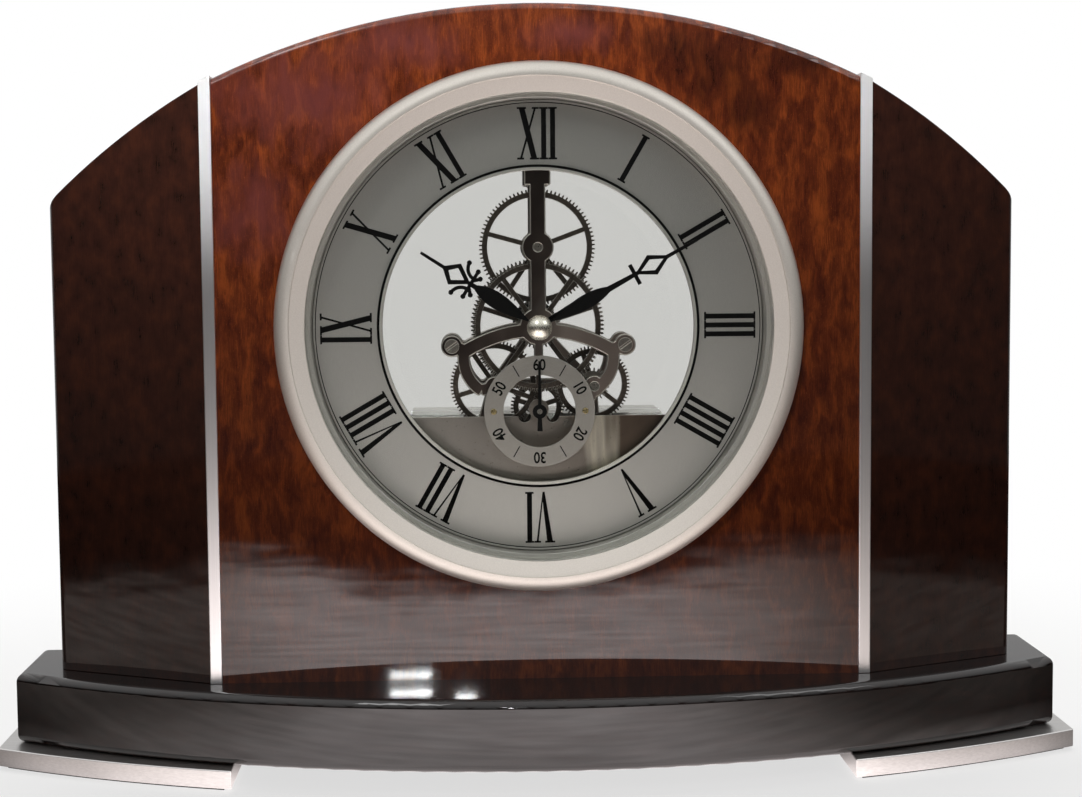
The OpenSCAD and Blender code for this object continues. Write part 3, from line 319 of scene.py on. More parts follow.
def buildStudio(facts):
    floor = flatSheet("floor", facts["floorReach"], 0, paperFloor(facts))
    floor.visible_glossy = False
    floor.visible_diffuse = False
    sheet = flatSheet("glowing_cloth_sheet", cloth["half"] * mm, cloth["lift"] * mm, glowingClothSheet(cloth))
    sheet.visible_camera = False
    sheet.visible_diffuse = False
    sheet.visible_shadow = False
    sheet.visible_transmission = False
    world = bpy.data.worlds.new("studio surround")
    bpy.context.scene.world = world
    world.use_nodes = True
    world.node_tree.nodes.clear()
    way = addNode(world, "SeparateXYZ", {0: addNode(world, "TexCoord", {}).outputs["Generated"]})
    height = addNode(world, "MapRange", {"Value": way.outputs["Z"], "From Min": -1.0, "From Max": 1.0})
    room = addNode(world, "ValToRGB", {"Fac": height.outputs["Result"], "ramp": facts["room"]})
    behind = addNode(world, "MapRange", {
        "Value": way.outputs["Y"], "From Min": facts["backFrom"], "From Max": facts["backTo"],
        "To Max": facts["backLight"]})
    light = addNode(world, "Math", {
        "operation": "MAXIMUM", 0: room.outputs["Color"], 1: behind.outputs["Result"]})
    path = addNode(world, "LightPath", {})
    level = addNode(world, "MapRange", {
        "Value": path.outputs["Is Glossy Ray"], "To Min": facts["mattShare"], "To Max": 1.0})
    dim = addNode(world, "Background", {"Color": light.outputs[0], "Strength": level.outputs["Result"]})
    white = addNode(world, "Background", {"Color": (1, 1, 1, 1), "Strength": 1.0})
    seen = addNode(world, "Math", {
        "operation": "MAXIMUM", 0: path.outputs["Is Camera Ray"], 1: path.outputs["Is Transmission Ray"]}).outputs[0]
    both = addNode(world, "MixShader", {0: seen, 1: dim.outputs[0], 2: white.outputs[0]})
    addNode(world, "OutputWorld", {"Surface": both.outputs[0]})


# Lamps: place, aim, size in metres, power in watts, spread in degrees, and whether matt colours and gloss see them
lamps = [
    {"name": "top_spot", "place": (-0.12, -0.5, 0.36), "aim": (-0.03, 0, 0.27), "size": (0.2, 0.1),
     "power": 0.42, "spread": 49, "seenBy": "matt"},
    {"name": "sky_panel", "place": (0, 0.35, 1.0), "aim": (0, 0.15, 0), "size": (1.0, 0.6),
     "power": 9.0, "spread": 180, "seenBy": "matt"},
    {"name": "side_softbox", "place": (0.55, -0.5, 0.62), "aim": (0, 0, 0.1), "size": (0.3, 0.3),
     "power": 0.6, "spread": 180, "seenBy": "both"},
    {"name": "left_window", "place": (-0.3, -0.74, 0.72), "aim": (0, 0, 0.1), "size": (0.2, 0.3),
     "power": 0.9, "spread": 180, "seenBy": "gloss"},
    # small bright panes behind the camera: base and panel together throw them back as short streaks
    {"name": "pane_low", "place": (-0.066, -1.181, 0.2797), "aim": (-0.031, -0.01, 0.021), "size": (0.034, 0.0018),
     "power": 0.00016, "spread": 8, "seenBy": "gloss"},
    {"name": "pane_high", "place": (-0.066, -1.179, 0.2946), "aim": (-0.031, -0.01, 0.025), "size": (0.034, 0.002),
     "power": 0.00018, "spread": 8, "seenBy": "gloss"},
    {"name": "pane_right", "place": (-0.02, -1.178, 0.2988), "aim": (-0.018, -0.01, 0.026), "size": (0.017, 0.0018),
     "power": 0.00007, "spread": 8, "seenBy": "gloss"},
]


def hangLamp(facts):
    light = bpy.data.lights.new(facts["name"], "AREA")
    light.shape = "RECTANGLE"
    light.size, light.size_y = facts["size"]
    light.energy = facts["power"]
    light.spread = math.radians(facts["spread"])
    obj = bpy.data.objects.new(facts["name"], light)
    way = Vector(facts["aim"]) - Vector(facts["place"])
    obj.matrix_world = Matrix.Translation(facts["place"]) @ way.to_track_quat("-Z", "Y").to_matrix().to_4x4()
    obj.visible_camera = False
    obj.visible_glossy = facts["seenBy"] != "matt"
    obj.visible_diffuse = facts["seenBy"] != "gloss"
    bpy.context.scene.collection.objects.link(obj)


buildStudio(studio)
for lamp in lamps:
    hangLamp(lamp)
print("studio lit")

# What counts as a sharp edge and as one flat face (degrees), as a flat beside a rounding (ratio of areas and square
# millimetres), and how close points are welded (millimetres)
edges = {"sharp": 35, "flat": 0.05, "flatRatio": 6, "flatArea": 25, "weld": 0.002}


# Puts a mesh in the scene as a piece that rides on a body, with its sharp edges broken by edge millimetres;
# with edge 0 the mesh has its own roundings, and they are kept from shading the flat faces beside them
def addPiece(name, bm, material, body, replaced=(), edge=0.0, steps=2, rim=None):
    sharp = math.radians(edges["sharp"])
    bmesh.ops.recalc_face_normals(bm, faces=bm.faces)
    for line in bm.edges:
        if len(line.link_faces) == 2 and not edge:
            small, large = sorted(f.calc_area() for f in line.link_faces)
            alike = large < edges["flatRatio"] * small or large < edges["flatArea"] * mm * mm
            line.smooth = line.calc_face_angle(0) < sharp and alike
    mesh = bpy.data.meshes.new(name)
    bm.to_mesh(mesh)
    bm.free()
    if "custom_normal" in mesh.attributes:
        mesh.attributes.remove(mesh.attributes["custom_normal"])
    mesh.polygons.foreach_set("use_smooth", [True] * len(mesh.polygons))
    mesh.polygons.foreach_set("material_index", [0] * len(mesh.polygons))
    mesh.materials.append(material)
    obj = bpy.data.objects.new(name, mesh)
    bpy.context.scene.collection.objects.link(obj)
    if edge:
        bevel = obj.modifiers.new("broken edges", "BEVEL")
        bevel.width = edge * mm
        bevel.segments = steps
        bevel.limit_method = "ANGLE"
        bevel.angle_limit = sharp
        bevel.harden_normals = True
        bevel.use_clamp_overlap = False
        if rim:
            mesh.materials.append(rim)
            bevel.material = 1
    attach(obj, body)
    if replaced:
        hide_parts(*replaced)


# A copy of a CAD solid with its flat faces joined up, so that only real edges are left to break
def copyOf(node):
    bm = bmesh.new()
    bm.from_mesh(frame["nodes"][node].data)
    bmesh.ops.remove_doubles(bm, verts=bm.verts, dist=edges["weld"] * mm)
    bmesh.ops.dissolve_limit(bm, angle_limit=math.radians(edges["flat"]), verts=bm.verts, edges=bm.edges)
    return bm


# Dresses a CAD node; facts may say how wide its broken edges are, in millimetres, and in how many steps they turn
def dress(node, material, facts, rim=None):
    addPiece(node + "_finished", copyOf(node), material, bodyOf[node], [node],
             facts.get("edge", 0.0), facts.get("steps", 2), rim)


# A flat outline in millimetres round a centre, between two depths behind the front of the panel
def addPlate(bm, outline, front, back, centre=hub):
    rings = [[bm.verts.new(centre + Vector((x, y, z)) * mm) for x, z in outline] for y in (front, back)]
    bm.faces.new(rings[0])
    bm.faces.new(rings[1][::-1])
    for i in range(len(outline)):
        j = (i + 1) % len(outline)
        bm.faces.new((rings[0][i], rings[1][i], rings[1][j], rings[0][j]))


# Case woods

# Polyester lacquer, sprayed thick, rubbed down and buffed: a clear mirror that gives the boards their depth
lacquer = {"Roughness": 0.5, "Specular IOR Level": 0.05,
           "Coat Weight": 1.0, "Coat Roughness": 0.03, "Coat IOR": 1.6}

# Mahogany veneer, sliced and stained, under that lacquer: short upright flecks under deep gloss
mahogany = {"light": "#8b421a", "middle": "#5c2610", "dark": "#381209", "toneStops": (0.34, 0.5, 0.66),
            # patterns in millimetres across, into the board and up, and how much of the tone each gives
            "figure": (2.6, 2.6, 8.0), "streak": (0.16, 0.16, 3.2), "fleck": (0.08, 0.08, 0.8),
            "figurePart": 0.5, "streakPart": 0.32, "fleckPart": 0.18,
            "warp": (3.6, 3.6, 8.0), "sway": 2.0,
            # orange specks and dark pores: noise at which they start and are full, and their strength
            "spark": "#b96b34", "speck": (0.14, 0.14, 0.48), "speckShift": (3, 0, 7), "specks": (0.66, 0.76, 0.3),
            "pore": (0.056, 0.056, 1.0), "pores": (0.62, 0.72, 0.25), "poreDepth": 0.02,
            # darker patches of figure, and violet patches that are a painted reflection of bright light from the upper
            # left and top: centre in dial millimetres, and reach across and up
            "shade": "#1f0b08", "knotShare": 0.7, "reflectedHaze": "#6d3734", "reflectionShare": 0.6,
            "knots": [((42, 60), (16, 9)), ((64, 62), (13, 6)), ((32, 66), (10, 6)), ((49, 50), (9, 8))],
            "paintedReflections": [((-56, 54), (26, 15)), ((-32, 66), (16, 8)), ((-66, 28), (12, 14)), ((8, 68), (14, 5))],
            "patchBack": 10, "patchDeep": 60, "patchFull": 0.2, "ragged": 1.28}


def lacqueredMahogany(facts):
    mat = startMaterial("mahogany veneer under gloss polyester lacquer")
    warp = addNode(mat, "TexNoise", {
        "Vector": placeOn(mat, facts["warp"]), "Scale": 1.0, "Detail": 2.0}).outputs["Color"]
    sway = addNode(mat, "VectorMath", {"operation": "SCALE", 0: warp, "Scale": facts["sway"]}).outputs[0]
    figurePlace = addNode(mat, "VectorMath", {
        "operation": "ADD", 0: placeOn(mat, facts["figure"]), 1: sway}).outputs[0]
    figure = addNode(mat, "TexNoise", {
        "Vector": figurePlace, "Scale": 1.0, "Detail": 1.6, "Roughness": 0.45}).outputs["Fac"]
    streakPlace = addNode(mat, "VectorMath", {
        "operation": "ADD", 0: placeOn(mat, facts["streak"]), 1: sway}).outputs[0]
    streak = addNode(mat, "TexNoise", {
        "Vector": streakPlace, "Scale": 1.0, "Detail": 3.0, "Roughness": 0.6}).outputs["Fac"]
    fleck = addNode(mat, "TexNoise", {
        "Vector": placeOn(mat, facts["fleck"]), "Scale": 1.0, "Detail": 3.0, "Roughness": 0.65}).outputs["Fac"]
    blend = addNode(mat, "Math", {"operation": "MULTIPLY", 0: figure, 1: facts["figurePart"]}).outputs[0]
    for pattern, part in ((streak, facts["streakPart"]), (fleck, facts["fleckPart"])):
        blend = addNode(mat, "Math", {"operation": "MULTIPLY_ADD", 0: pattern, 1: part, 2: blend}).outputs[0]
    stops = list(zip(facts["toneStops"], (facts["dark"], facts["middle"], facts["light"])))
    tones = addNode(mat, "ValToRGB", {"Fac": blend, "ramp": stops}).outputs["Color"]
    speckPlace = placeOn(mat, facts["speck"], Vector(facts["speckShift"]) * mm)
    speck = addNode(mat, "TexNoise", {"Vector": speckPlace, "Scale": 1.0, "Detail": 1.0}).outputs["Fac"]
    pore = addNode(mat, "TexNoise", {
        "Vector": placeOn(mat, facts["pore"]), "Scale": 1.0, "Detail": 1.0}).outputs["Fac"]
    for pattern, (start, full, most), colour in ((speck, facts["specks"], "spark"), (pore, facts["pores"], "dark")):
        share = addNode(mat, "MapRange", {
            "Value": pattern, "From Min": start, "From Max": full, "To Max": most}).outputs["Result"]
        tones = addNode(mat, "MixRGB", {0: share, 1: tones, 2: linear(facts[colour])}).outputs[0]
    # the same warp, taken from its middle, makes the outlines of the patches ragged
    rag = facts["ragged"]
    ragged = addNode(mat, "VectorMath", {
        "operation": "MULTIPLY_ADD", 0: warp, 1: (rag, rag, rag), 2: (-rag / 2, -rag / 2, -rag / 2)}).outputs[0]
    patches = [(spot, "shade", facts["knotShare"]) for spot in facts["knots"]]
    # the violet patches are a painted reflection laid into the veneer colour
    patches += [(spot, "reflectedHaze", facts["reflectionShare"]) for spot in facts["paintedReflections"]]
    for ((x, z), (wide, high)), colour, most in patches:
        centre = hub + Vector((x, facts["patchBack"], z)) * mm
        spot = addNode(mat, "VectorMath", {
            "operation": "ADD", 0: placeOn(mat, (wide, facts["patchDeep"], high), centre), 1: ragged}).outputs[0]
        reach = addNode(mat, "VectorMath", {"operation": "LENGTH", 0: spot}).outputs["Value"]
        share = addNode(mat, "MapRange", {
            "Value": reach, "From Min": 1.0, "From Max": facts["patchFull"], "To Max": most}).outputs["Result"]
        tones = addNode(mat, "MixRGB", {0: share, 1: tones, 2: linear(facts[colour])}).outputs[0]
    relief = addNode(mat, "Bump", {
        "Height": pore, "Strength": 0.15, "Distance": facts["poreDepth"] * mm, "invert": True}).outputs["Normal"]
    return endMaterial(mat, addNode(mat, "BsdfPrincipled", {"Base Color": tones, "Normal": relief, **lacquer}))


# Veneer stained almost black under the same lacquer: hints of red grain show where light falls straight on it
darkWood = {"light": "#49261a", "middle": "#391f17", "dark": "#2f1912",
            "fleck": (0.16, 0.16, 3.2), "figure": (3.6, 3.6, 4.8)}
# The base is darker still, with its grain lengthwise
baseWood = {"light": "#2c1712", "middle": "#1c0e0b", "dark": "#110807",
            "fleck": (2.8, 0.28, 0.28), "figure": (16, 2, 2)}


def lacqueredDark(name, facts):
    figurePart, fleckPart, fleckDepth = 0.7, 0.3, 0.02
    mat = startMaterial(name)
    figure = addNode(mat, "TexNoise", {
        "Vector": placeOn(mat, facts["figure"]), "Scale": 1.0, "Detail": 4.0}).outputs["Fac"]
    fleck = addNode(mat, "TexNoise", {
        "Vector": placeOn(mat, facts["fleck"]), "Scale": 1.0, "Detail": 3.0}).outputs["Fac"]
    broad = addNode(mat, "Math", {"operation": "MULTIPLY", 0: figure, 1: figurePart}).outputs[0]
    blend = addNode(mat, "Math", {"operation": "MULTIPLY_ADD", 0: fleck, 1: fleckPart, 2: broad}).outputs[0]
    tones = addNode(mat, "ValToRGB", {"Fac": blend, "ramp": [
        (0.36, facts["dark"]), (0.5, facts["middle"]), (0.64, facts["light"])]}).outputs["Color"]
    relief = addNode(mat, "Bump", {
        "Height": fleck, "Strength": 0.1, "Distance": fleckDepth * mm}).outputs["Normal"]
    return endMaterial(mat, addNode(mat, "BsdfPrincipled", {"Base Color": tones, "Normal": relief, **lacquer}))


# Wing boards, in millimetres: broken edge, radius and steps of the outer top corner, how far in and up from that corner
# the arch is looked for, and what counts as the same place
wing = {"edge": 0.2, "steps": 2, "corner": 5.0, "cornerSteps": 5, "lookIn": 6, "lookUp": 14, "same": 0.02,
        "cutWeld": 0.0001}


# The outer top corner of a wing is sanded round: planes that touch a circle cut the corner off
def roundCorner(bm, facts):
    radius = facts["corner"] * mm
    outer = max(abs(v.co.x) for v in bm.verts)
    side = 1 if max(v.co.x for v in bm.verts) > 0 else -1
    tip = max(v.co.z for v in bm.verts if abs(v.co.x) > outer - facts["same"] * mm)
    onArch = [v for v in bm.verts
              if abs(v.co.x) < outer - facts["lookIn"] * mm and v.co.z < tip + facts["lookUp"] * mm]
    inner = max(onArch, key=lambda v: v.co.z)
    slope = Vector((inner.co.z - tip, outer - abs(inner.co.x))).normalized()  # points out of the arch, across and up
    centre = Vector((outer - radius, tip - radius * (1 - slope.x) / slope.y))
    first, steps = math.atan2(slope.x, slope.y), facts["cornerSteps"]
    for k in range(1, steps + 1):
        turn = first + (math.pi / 2 - first) * k / (steps + 1)
        way = Vector((math.sin(turn), math.cos(turn)))
        touch = centre + radius * way
        cut = bmesh.ops.bisect_plane(
            bm, geom=bm.verts[:] + bm.edges[:] + bm.faces[:], dist=facts["cutWeld"] * mm, clear_outer=True,
            plane_co=(side * touch.x, 0, touch.y), plane_no=(side * way.x, 0, way.y))
        bmesh.ops.edgeloop_fill(bm, edges=[g for g in cut["geom_cut"] if isinstance(g, bmesh.types.BMEdge)])


dress("centre_panel", lacqueredMahogany(mahogany), mahogany)
wingFinish = lacqueredDark("dark stained veneer under gloss polyester lacquer", darkWood)
for side in ("left_wing", "right_wing"):
    board = copyOf(side)
    roundCorner(board, wing)
    addPiece(side + "_finished", board, wingFinish, "case", [side], wing["edge"], wing["steps"])
baseFinish = lacqueredDark("black brown stained base under gloss polyester lacquer", baseWood)
dress("base", baseFinish, baseWood)
print("case boards dressed")

# Case metal

# Steel plate, drawn lengthwise over a belt: pale satin lines along the front
foot = {"tone": "#e3e1df", "deep": "#d7d5d3", "rough": 0.36, "spread": 0.05,
        "marks": (14, 0.4, 0.3), "depth": 0.0012, "edge": 0.35}
footMetal = metal("belt brushed steel", foot)
for side in ("left_foot", "right_foot"):
    dress(side, footMetal, foot)

# Stainless strip, rolled and polished along its length: a near mirror low down. Towards the upper end it turns from
# metal to white matt, which the lamp there lights up: a painted reflection standing in for the bright reflection at
# that end (heights in millimetres)
strip = {"tone": "#f6f5f5", "line": "#f0efef", "lines": (0.3, 0.3, 60), "rough": 0.3,
         "mattFrom": 112, "mattTo": 156, "mattShare": 0.9, "edge": 0.2}


def polishedStrip(facts):
    mat = startMaterial("polished stainless strip")
    marks = addNode(mat, "TexNoise", {
        "Vector": placeOn(mat, facts["lines"]), "Scale": 1.0, "Detail": 3.0, "Roughness": 0.6}).outputs["Fac"]
    tones = addNode(mat, "ValToRGB", {
        "Fac": marks, "ramp": [(noiseLow, facts["line"]), (noiseHigh, facts["tone"])]}).outputs["Color"]
    height = addNode(mat, "SeparateXYZ", {0: placeOn(mat)}).outputs["Z"]
    # painted reflection: above mattFrom the metal gives way to white matt, lit by the lamp
    mirror = addNode(mat, "MapRange", {
        "interpolation_type": "SMOOTHSTEP", "Value": height, "From Min": facts["mattFrom"],
        "From Max": facts["mattTo"], "To Min": 1.0, "To Max": 1 - facts["mattShare"]}).outputs["Result"]
    return endMaterial(mat, addNode(mat, "BsdfPrincipled", {
        "Base Color": tones, "Metallic": mirror, "Roughness": facts["rough"]}))


stripMetal = polishedStrip(strip)
for side in ("left_strip", "right_strip"):
    dress(side, stripMetal, strip)

# Zinc plated steel screws, pressed and tumbled: grey with a soft uneven sheen
caseScrew = {"tone": "#b9bbbd", "deep": "#8f9296", "rough": 0.38, "spread": 0.08,
             "marks": (0.8, 0.8, 0.8), "depth": 0.01, "edge": 0.3}
screwMetal = metal("zinc plated steel", caseScrew)
for screws in ("foot_screws", "base_screws"):
    dress(screws, screwMetal, caseScrew)

# Wool felt, pressed and dyed dark: matt, with fibres that stand up a little
pad = {"light": "#33302e", "dark": "#171615", "rough": 0.95, "fibre": 0.06, "depth": 0.15, "edge": 0.15}


def pressedFelt(facts):
    mat = startMaterial("pressed wool felt")
    fibre = addNode(mat, "TexNoise", {
        "Vector": placeOn(mat, (facts["fibre"],) * 3), "Scale": 1.0, "Detail": 5.0, "Distortion": 1.5}).outputs["Fac"]
    tones = addNode(mat, "ValToRGB", {
        "Fac": fibre, "ramp": [(noiseLow, facts["dark"]), (noiseHigh, facts["light"])]}).outputs["Color"]
    relief = addNode(mat, "Bump", {
        "Height": fibre, "Strength": 0.8, "Distance": facts["depth"] * mm}).outputs["Normal"]
    return endMaterial(mat, addNode(mat, "BsdfPrincipled", {
        "Base Color": tones, "Roughness": facts["rough"], "Normal": relief,
        "Sheen Weight": 0.3, "Sheen Roughness": 0.5}))


dress("foot_pads", pressedFelt(pad), pad)
print("feet and strips dressed")

# Insert: bezel, glass, shell and rear cover

# Aluminium bezel, turned and pearl blasted: soft silver with a warm cast, no clear mirror
bezel = {"tone": "#e0dbd3", "deep": "#d7d2ca", "rough": 0.55, "spread": 0.03,
         "marks": (0.25, 0.25, 0.25), "depth": 0.002, "edge": 0.12}
dress("bezel", metal("pearl blasted aluminium", bezel), bezel)


# A clear pane: what is behind shows unbent, and the surface adds its own faint mirror, uneven over smear millimetres
def clearPane(name, facts):
    smearRough = 0.03
    mat = startMaterial(name)
    clear = addNode(mat, "BsdfTransparent", {"Color": linear(facts["tint"])})
    reflectedHaze = addNode(mat, "TexNoise", {
        "Vector": placeOn(mat, (facts["smear"],) * 3), "Scale": 1.0, "Detail": 3.0}).outputs["Fac"]
    polish = addNode(mat, "MapRange", {
        "Value": reflectedHaze, "To Min": facts["rough"], "To Max": facts["rough"] + smearRough}).outputs["Result"]
    mirror = addNode(mat, "BsdfGlossy", {"Color": (1, 1, 1, 1), "Roughness": polish})
    least = ((facts["ior"] - 1) / (facts["ior"] + 1)) ** 2  # share that mirrors when seen straight on
    slant = addNode(mat, "LayerWeight", {"Blend": 0.5}).outputs["Facing"]
    steep = addNode(mat, "Math", {"operation": "POWER", 0: slant, 1: 5.0}).outputs[0]
    share = addNode(mat, "Math", {"operation": "MULTIPLY_ADD", 0: steep, 1: 1 - least, 2: least}).outputs[0]
    return endMaterial(mat, addNode(mat, "MixShader", {0: share, 1: clear.outputs[0], 2: mirror.outputs[0]}))


# Float glass, cut round: low in iron, mirror smooth
lens = {"tint": "#fdfefd", "ior": 1.52, "rough": 0.0, "smear": 8}
dress("lens", clearPane("low iron float glass", lens), lens)
# Styrene spacer, moulded and painted with aluminium flake: pale and soft, so the wall reads as part of the dial
spacer = {"tone": "#dddbd6", "deep": "#cfcdc8", "rough": 0.5, "spread": 0.08,
          "ring": 0.25, "depth": 0.003, "edge": 0.15}
dress("lens_ring", metal("silver painted styrene", spacer, hub), spacer)
# Spun steel shell under silver lacquer: fine rings round the axis
shell = {"tone": "#d8d6d1", "deep": "#c6c4bf", "rough": 0.45, "spread": 0.08,
         "ring": 0.3, "depth": 0.006, "edge": 0.2}
dress("insert_shell", metal("silver lacquered spun steel", shell, hub), shell)
# Nitrile rubber, moulded: matt black with a trace of bloom
grip = {"tone": "#272625", "deep": "#1a1a19", "rough": 0.75, "grain": 0.5, "depth": 0.03, "ior": 1.52, "edge": 0.2}
dress("grip_ring", plastic("moulded nitrile rubber", grip), grip)
# Clear styrene cover, moulded: a little grey, with a softer shine than glass
rearCover = {"tint": "#ebeae9", "ior": 1.45, "rough": 0.08, "smear": 5}
dress("rear_cover", clearPane("clear moulded styrene", rearCover), rearCover)
print("insert dressed")

# Dial

# Aluminium dial, brushed straight and lacquered: grey that lightens towards a bright table
dialRing = {"tone": "#bfbdb9", "deep": "#b7b5b1", "rough": 0.45, "spread": 0.03,
            "marks": (0.12, 0.12, 1.5), "depth": 0.001, "edge": 0.1}
dress("dial", metal("straight brushed aluminium dial", dialRing), dialRing)
# Nickel plated rim, turned and satin finished: a thin light line round the opening
windowRim = {"tone": "#e2e0da", "deep": "#cfcdc7", "rough": 0.42, "spread": 0.05,
             "ring": 0.3, "depth": 0.003, "edge": 0.15, "steps": 3}
dress("window_rim", metal("satin nickel rim", windowRim, hub), windowRim)
# Aluminium seconds dial, satin turned: a warmer grey than the dial round it
secondsDial = {"tone": "#b2aea8", "deep": "#a8a49e", "rough": 0.42, "spread": 0.03,
               "ring": 0.2, "depth": 0.002, "edge": 0.1}
secondsMetal = metal("satin aluminium seconds dial", secondsDial, secondsHub)
dress("seconds_dial", secondsMetal, secondsDial)
# Brass rivets, turned: two small pale gold points
rivet = {"tone": "#d8c79a", "deep": "#b9a676", "rough": 0.28, "spread": 0.08,
         "marks": (0.3, 0.3, 0.3), "depth": 0.005, "edge": 0.12}
dress("seconds_dial_pins", metal("turned brass rivet", rivet), rivet)

# Enamel ink, screen printed: black, thin, slightly grainy at the surface; the same black also draws two rings of
# painted shade
ink = {"light": "#0a0909", "dark": "#040404", "grain": 0.03, "roughLow": 0.4, "roughHigh": 0.55,
       "ior": 1.5, "gloss": 0.06}


def printedInk(facts):
    mat = startMaterial("screen printed black enamel, also painted shade")
    grain = addNode(mat, "TexNoise", {
        "Vector": placeOn(mat, (facts["grain"],) * 3), "Scale": 1.0, "Detail": 2.0}).outputs["Fac"]
    tones = addNode(mat, "ValToRGB", {
        "Fac": grain, "ramp": [(noiseLow, facts["dark"]), (noiseHigh, facts["light"])]}).outputs["Color"]
    shine = addNode(mat, "MapRange", {
        "Value": grain, "To Min": facts["roughLow"], "To Max": facts["roughHigh"]}).outputs["Result"]
    return endMaterial(mat, addNode(mat, "BsdfPrincipled", {
        "Base Color": tones, "Roughness": shine, "IOR": facts["ior"], "Specular IOR Level": facts["gloss"]}))


inkAndShadeFinish = printedInk(ink)

# Roman numerals stand on the circle inside the dial, feet towards the centre. Inset is from the letter's side to a
# stroke, and serifs reach this far past a stroke towards the middle
numerals = {"inner": 39.6, "height": 12.3, "front": 4.95, "back": 5.02, "serif": 0.45, "gap": 0.08,
            "stem": 1.2, "stemSerif": 2.05, "thin": 0.5, "thick": 1.4,
            "vWidth": 5.0, "vInset": 0.5, "vFoot": 0.54, "vThickSerif": 0.5, "vThinSerif": 0.6,
            "xWidth": 5.2, "xThickInset": 0.4, "xThinInset": 0.6, "xThickSerif": 0.4, "xThinSerif": 0.55,
            "words": ["XII", "I", "II", "III", "IIII", "V", "VI", "VII", "VIII", "IX", "X", "XI"]}


# Where the line through a and b meets the line through c and d
def crossing(a, b, c, d):
    (x1, y1), (x2, y2), (x3, y3), (x4, y4) = a, b, c, d
    across = (x1 - x2) * (y3 - y4) - (y1 - y2) * (x3 - x4)
    p, q = x1 * y2 - y1 * x2, x3 * y4 - y3 * x4
    return ((p * (x3 - x4) - (x1 - x2) * q) / across, (p * (y3 - y4) - (y1 - y2) * q) / across)


# Where a stroke's edge from top a to foot b is at height z
def along(a, b, height, z):
    return (b + (a - b) * z / height, z)


def letterI(facts):
    h, t, w = facts["height"], facts["serif"], facts["stemSerif"]
    a, b = (w - facts["stem"]) / 2, (w + facts["stem"]) / 2
    top = h - t
    return w, [(0, 0), (w, 0), (w, t), (b, t), (b, top), (w, top), (w, h), (0, h), (0, top), (a, top), (a, t), (0, t)]


def letterV(facts):
    h, t, w, thick, thin = (facts[k] for k in ("height", "serif", "vWidth", "thick", "thin"))
    top = h - t
    leftTop, rightTop = facts["vInset"], w - facts["vInset"] - thin  # left edges of the strokes
    foot = facts["vFoot"] * w
    footLeft, footRight = foot - thin / 2, foot + thin / 2
    inner = crossing((leftTop + thick, h), (foot + thin, 0), (rightTop, h), (foot, 0))
    thickSerif, thinSerif = leftTop + thick + facts["vThickSerif"], rightTop - facts["vThinSerif"]
    return w, [(0, h), (0, top), along(leftTop, footLeft, h, top), (footLeft, 0), (footRight, 0),
               along(rightTop + thin, footRight, h, top), (w, top), (w, h), (thinSerif, h), (thinSerif, top),
               along(rightTop, foot, h, top), inner, along(leftTop + thick, foot + thin, h, top),
               (thickSerif, top), (thickSerif, h)]


def letterX(facts):
    h, t, w, thick, thin = (facts[k] for k in ("height", "serif", "xWidth", "thick", "thin"))
    top = h - t
    # left edges of the thick and thin strokes, at the top and at the foot, and the ends of their serifs there
    a, b = facts["xThickInset"], w - facts["xThickInset"] - thick
    c, d = w - facts["xThinInset"] - thin, facts["xThinInset"]
    e, f = a + thick + facts["xThickSerif"], b - facts["xThickSerif"]
    g, k = c - facts["xThinSerif"], d + thin + facts["xThinSerif"]
    thickLeft, thickRight = ((a, h), (b, 0)), ((a + thick, h), (b + thick, 0))
    thinLeft, thinRight = ((c, h), (d, 0)), ((c + thin, h), (d + thin, 0))
    return w, [(0, h), (0, top), along(a, b, h, top), crossing(*thickLeft, *thinLeft), along(c, d, h, t),
               (0, t), (0, 0), (k, 0), (k, t), along(c + thin, d + thin, h, t), crossing(*thickLeft, *thinRight),
               along(a, b, h, t), (f, t), (f, 0), (w, 0), (w, t), along(a + thick, b + thick, h, t),
               crossing(*thickRight, *thinRight), along(c + thin, d + thin, h, top), (w, top), (w, h), (g, h),
               (g, top), along(c, d, h, top), crossing(*thickRight, *thinLeft), along(a + thick, b + thick, h, top),
               (e, top), (e, h)]


def printNumerals(facts):
    bm = bmesh.new()
    letters = {"I": letterI(facts), "V": letterV(facts), "X": letterX(facts)}
    for hour, word in enumerate(facts["words"]):
        turn = math.radians(360 / len(facts["words"]) * hour)
        total = sum(letters[c][0] for c in word) + facts["gap"] * (len(word) - 1)
        start = -total / 2
        for c in word:
            width, outline = letters[c]
            placed = []
            for x, z in outline:
                across, out = start + x, facts["inner"] + z
                placed.append((across * math.cos(turn) + out * math.sin(turn),
                               out * math.cos(turn) - across * math.sin(turn)))
            addPlate(bm, placed, facts["front"], facts["back"])
            start += width + facts["gap"]
    addPiece("dial_numerals", bm, inkAndShadeFinish, "case")


printNumerals(numerals)

# A thin dark ring near the edge of the dial, painted shade of the gap between dial and spacer, and a dark ring of
# painted shade along the outer edge of the rim of the opening, which lies this far proud of the rim's front and this
# deep in it
dialGapShade = {"radius": 53.0, "width": 0.22, "front": 4.96, "back": 5.02, "steps": 180}
rimFront = (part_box("window_rim")[0].y - panelFront) / mm
rimEdgeShade = {"radius": 38.12, "width": 0.62, "front": rimFront - 0.02, "back": rimFront + 0.05, "steps": 180}


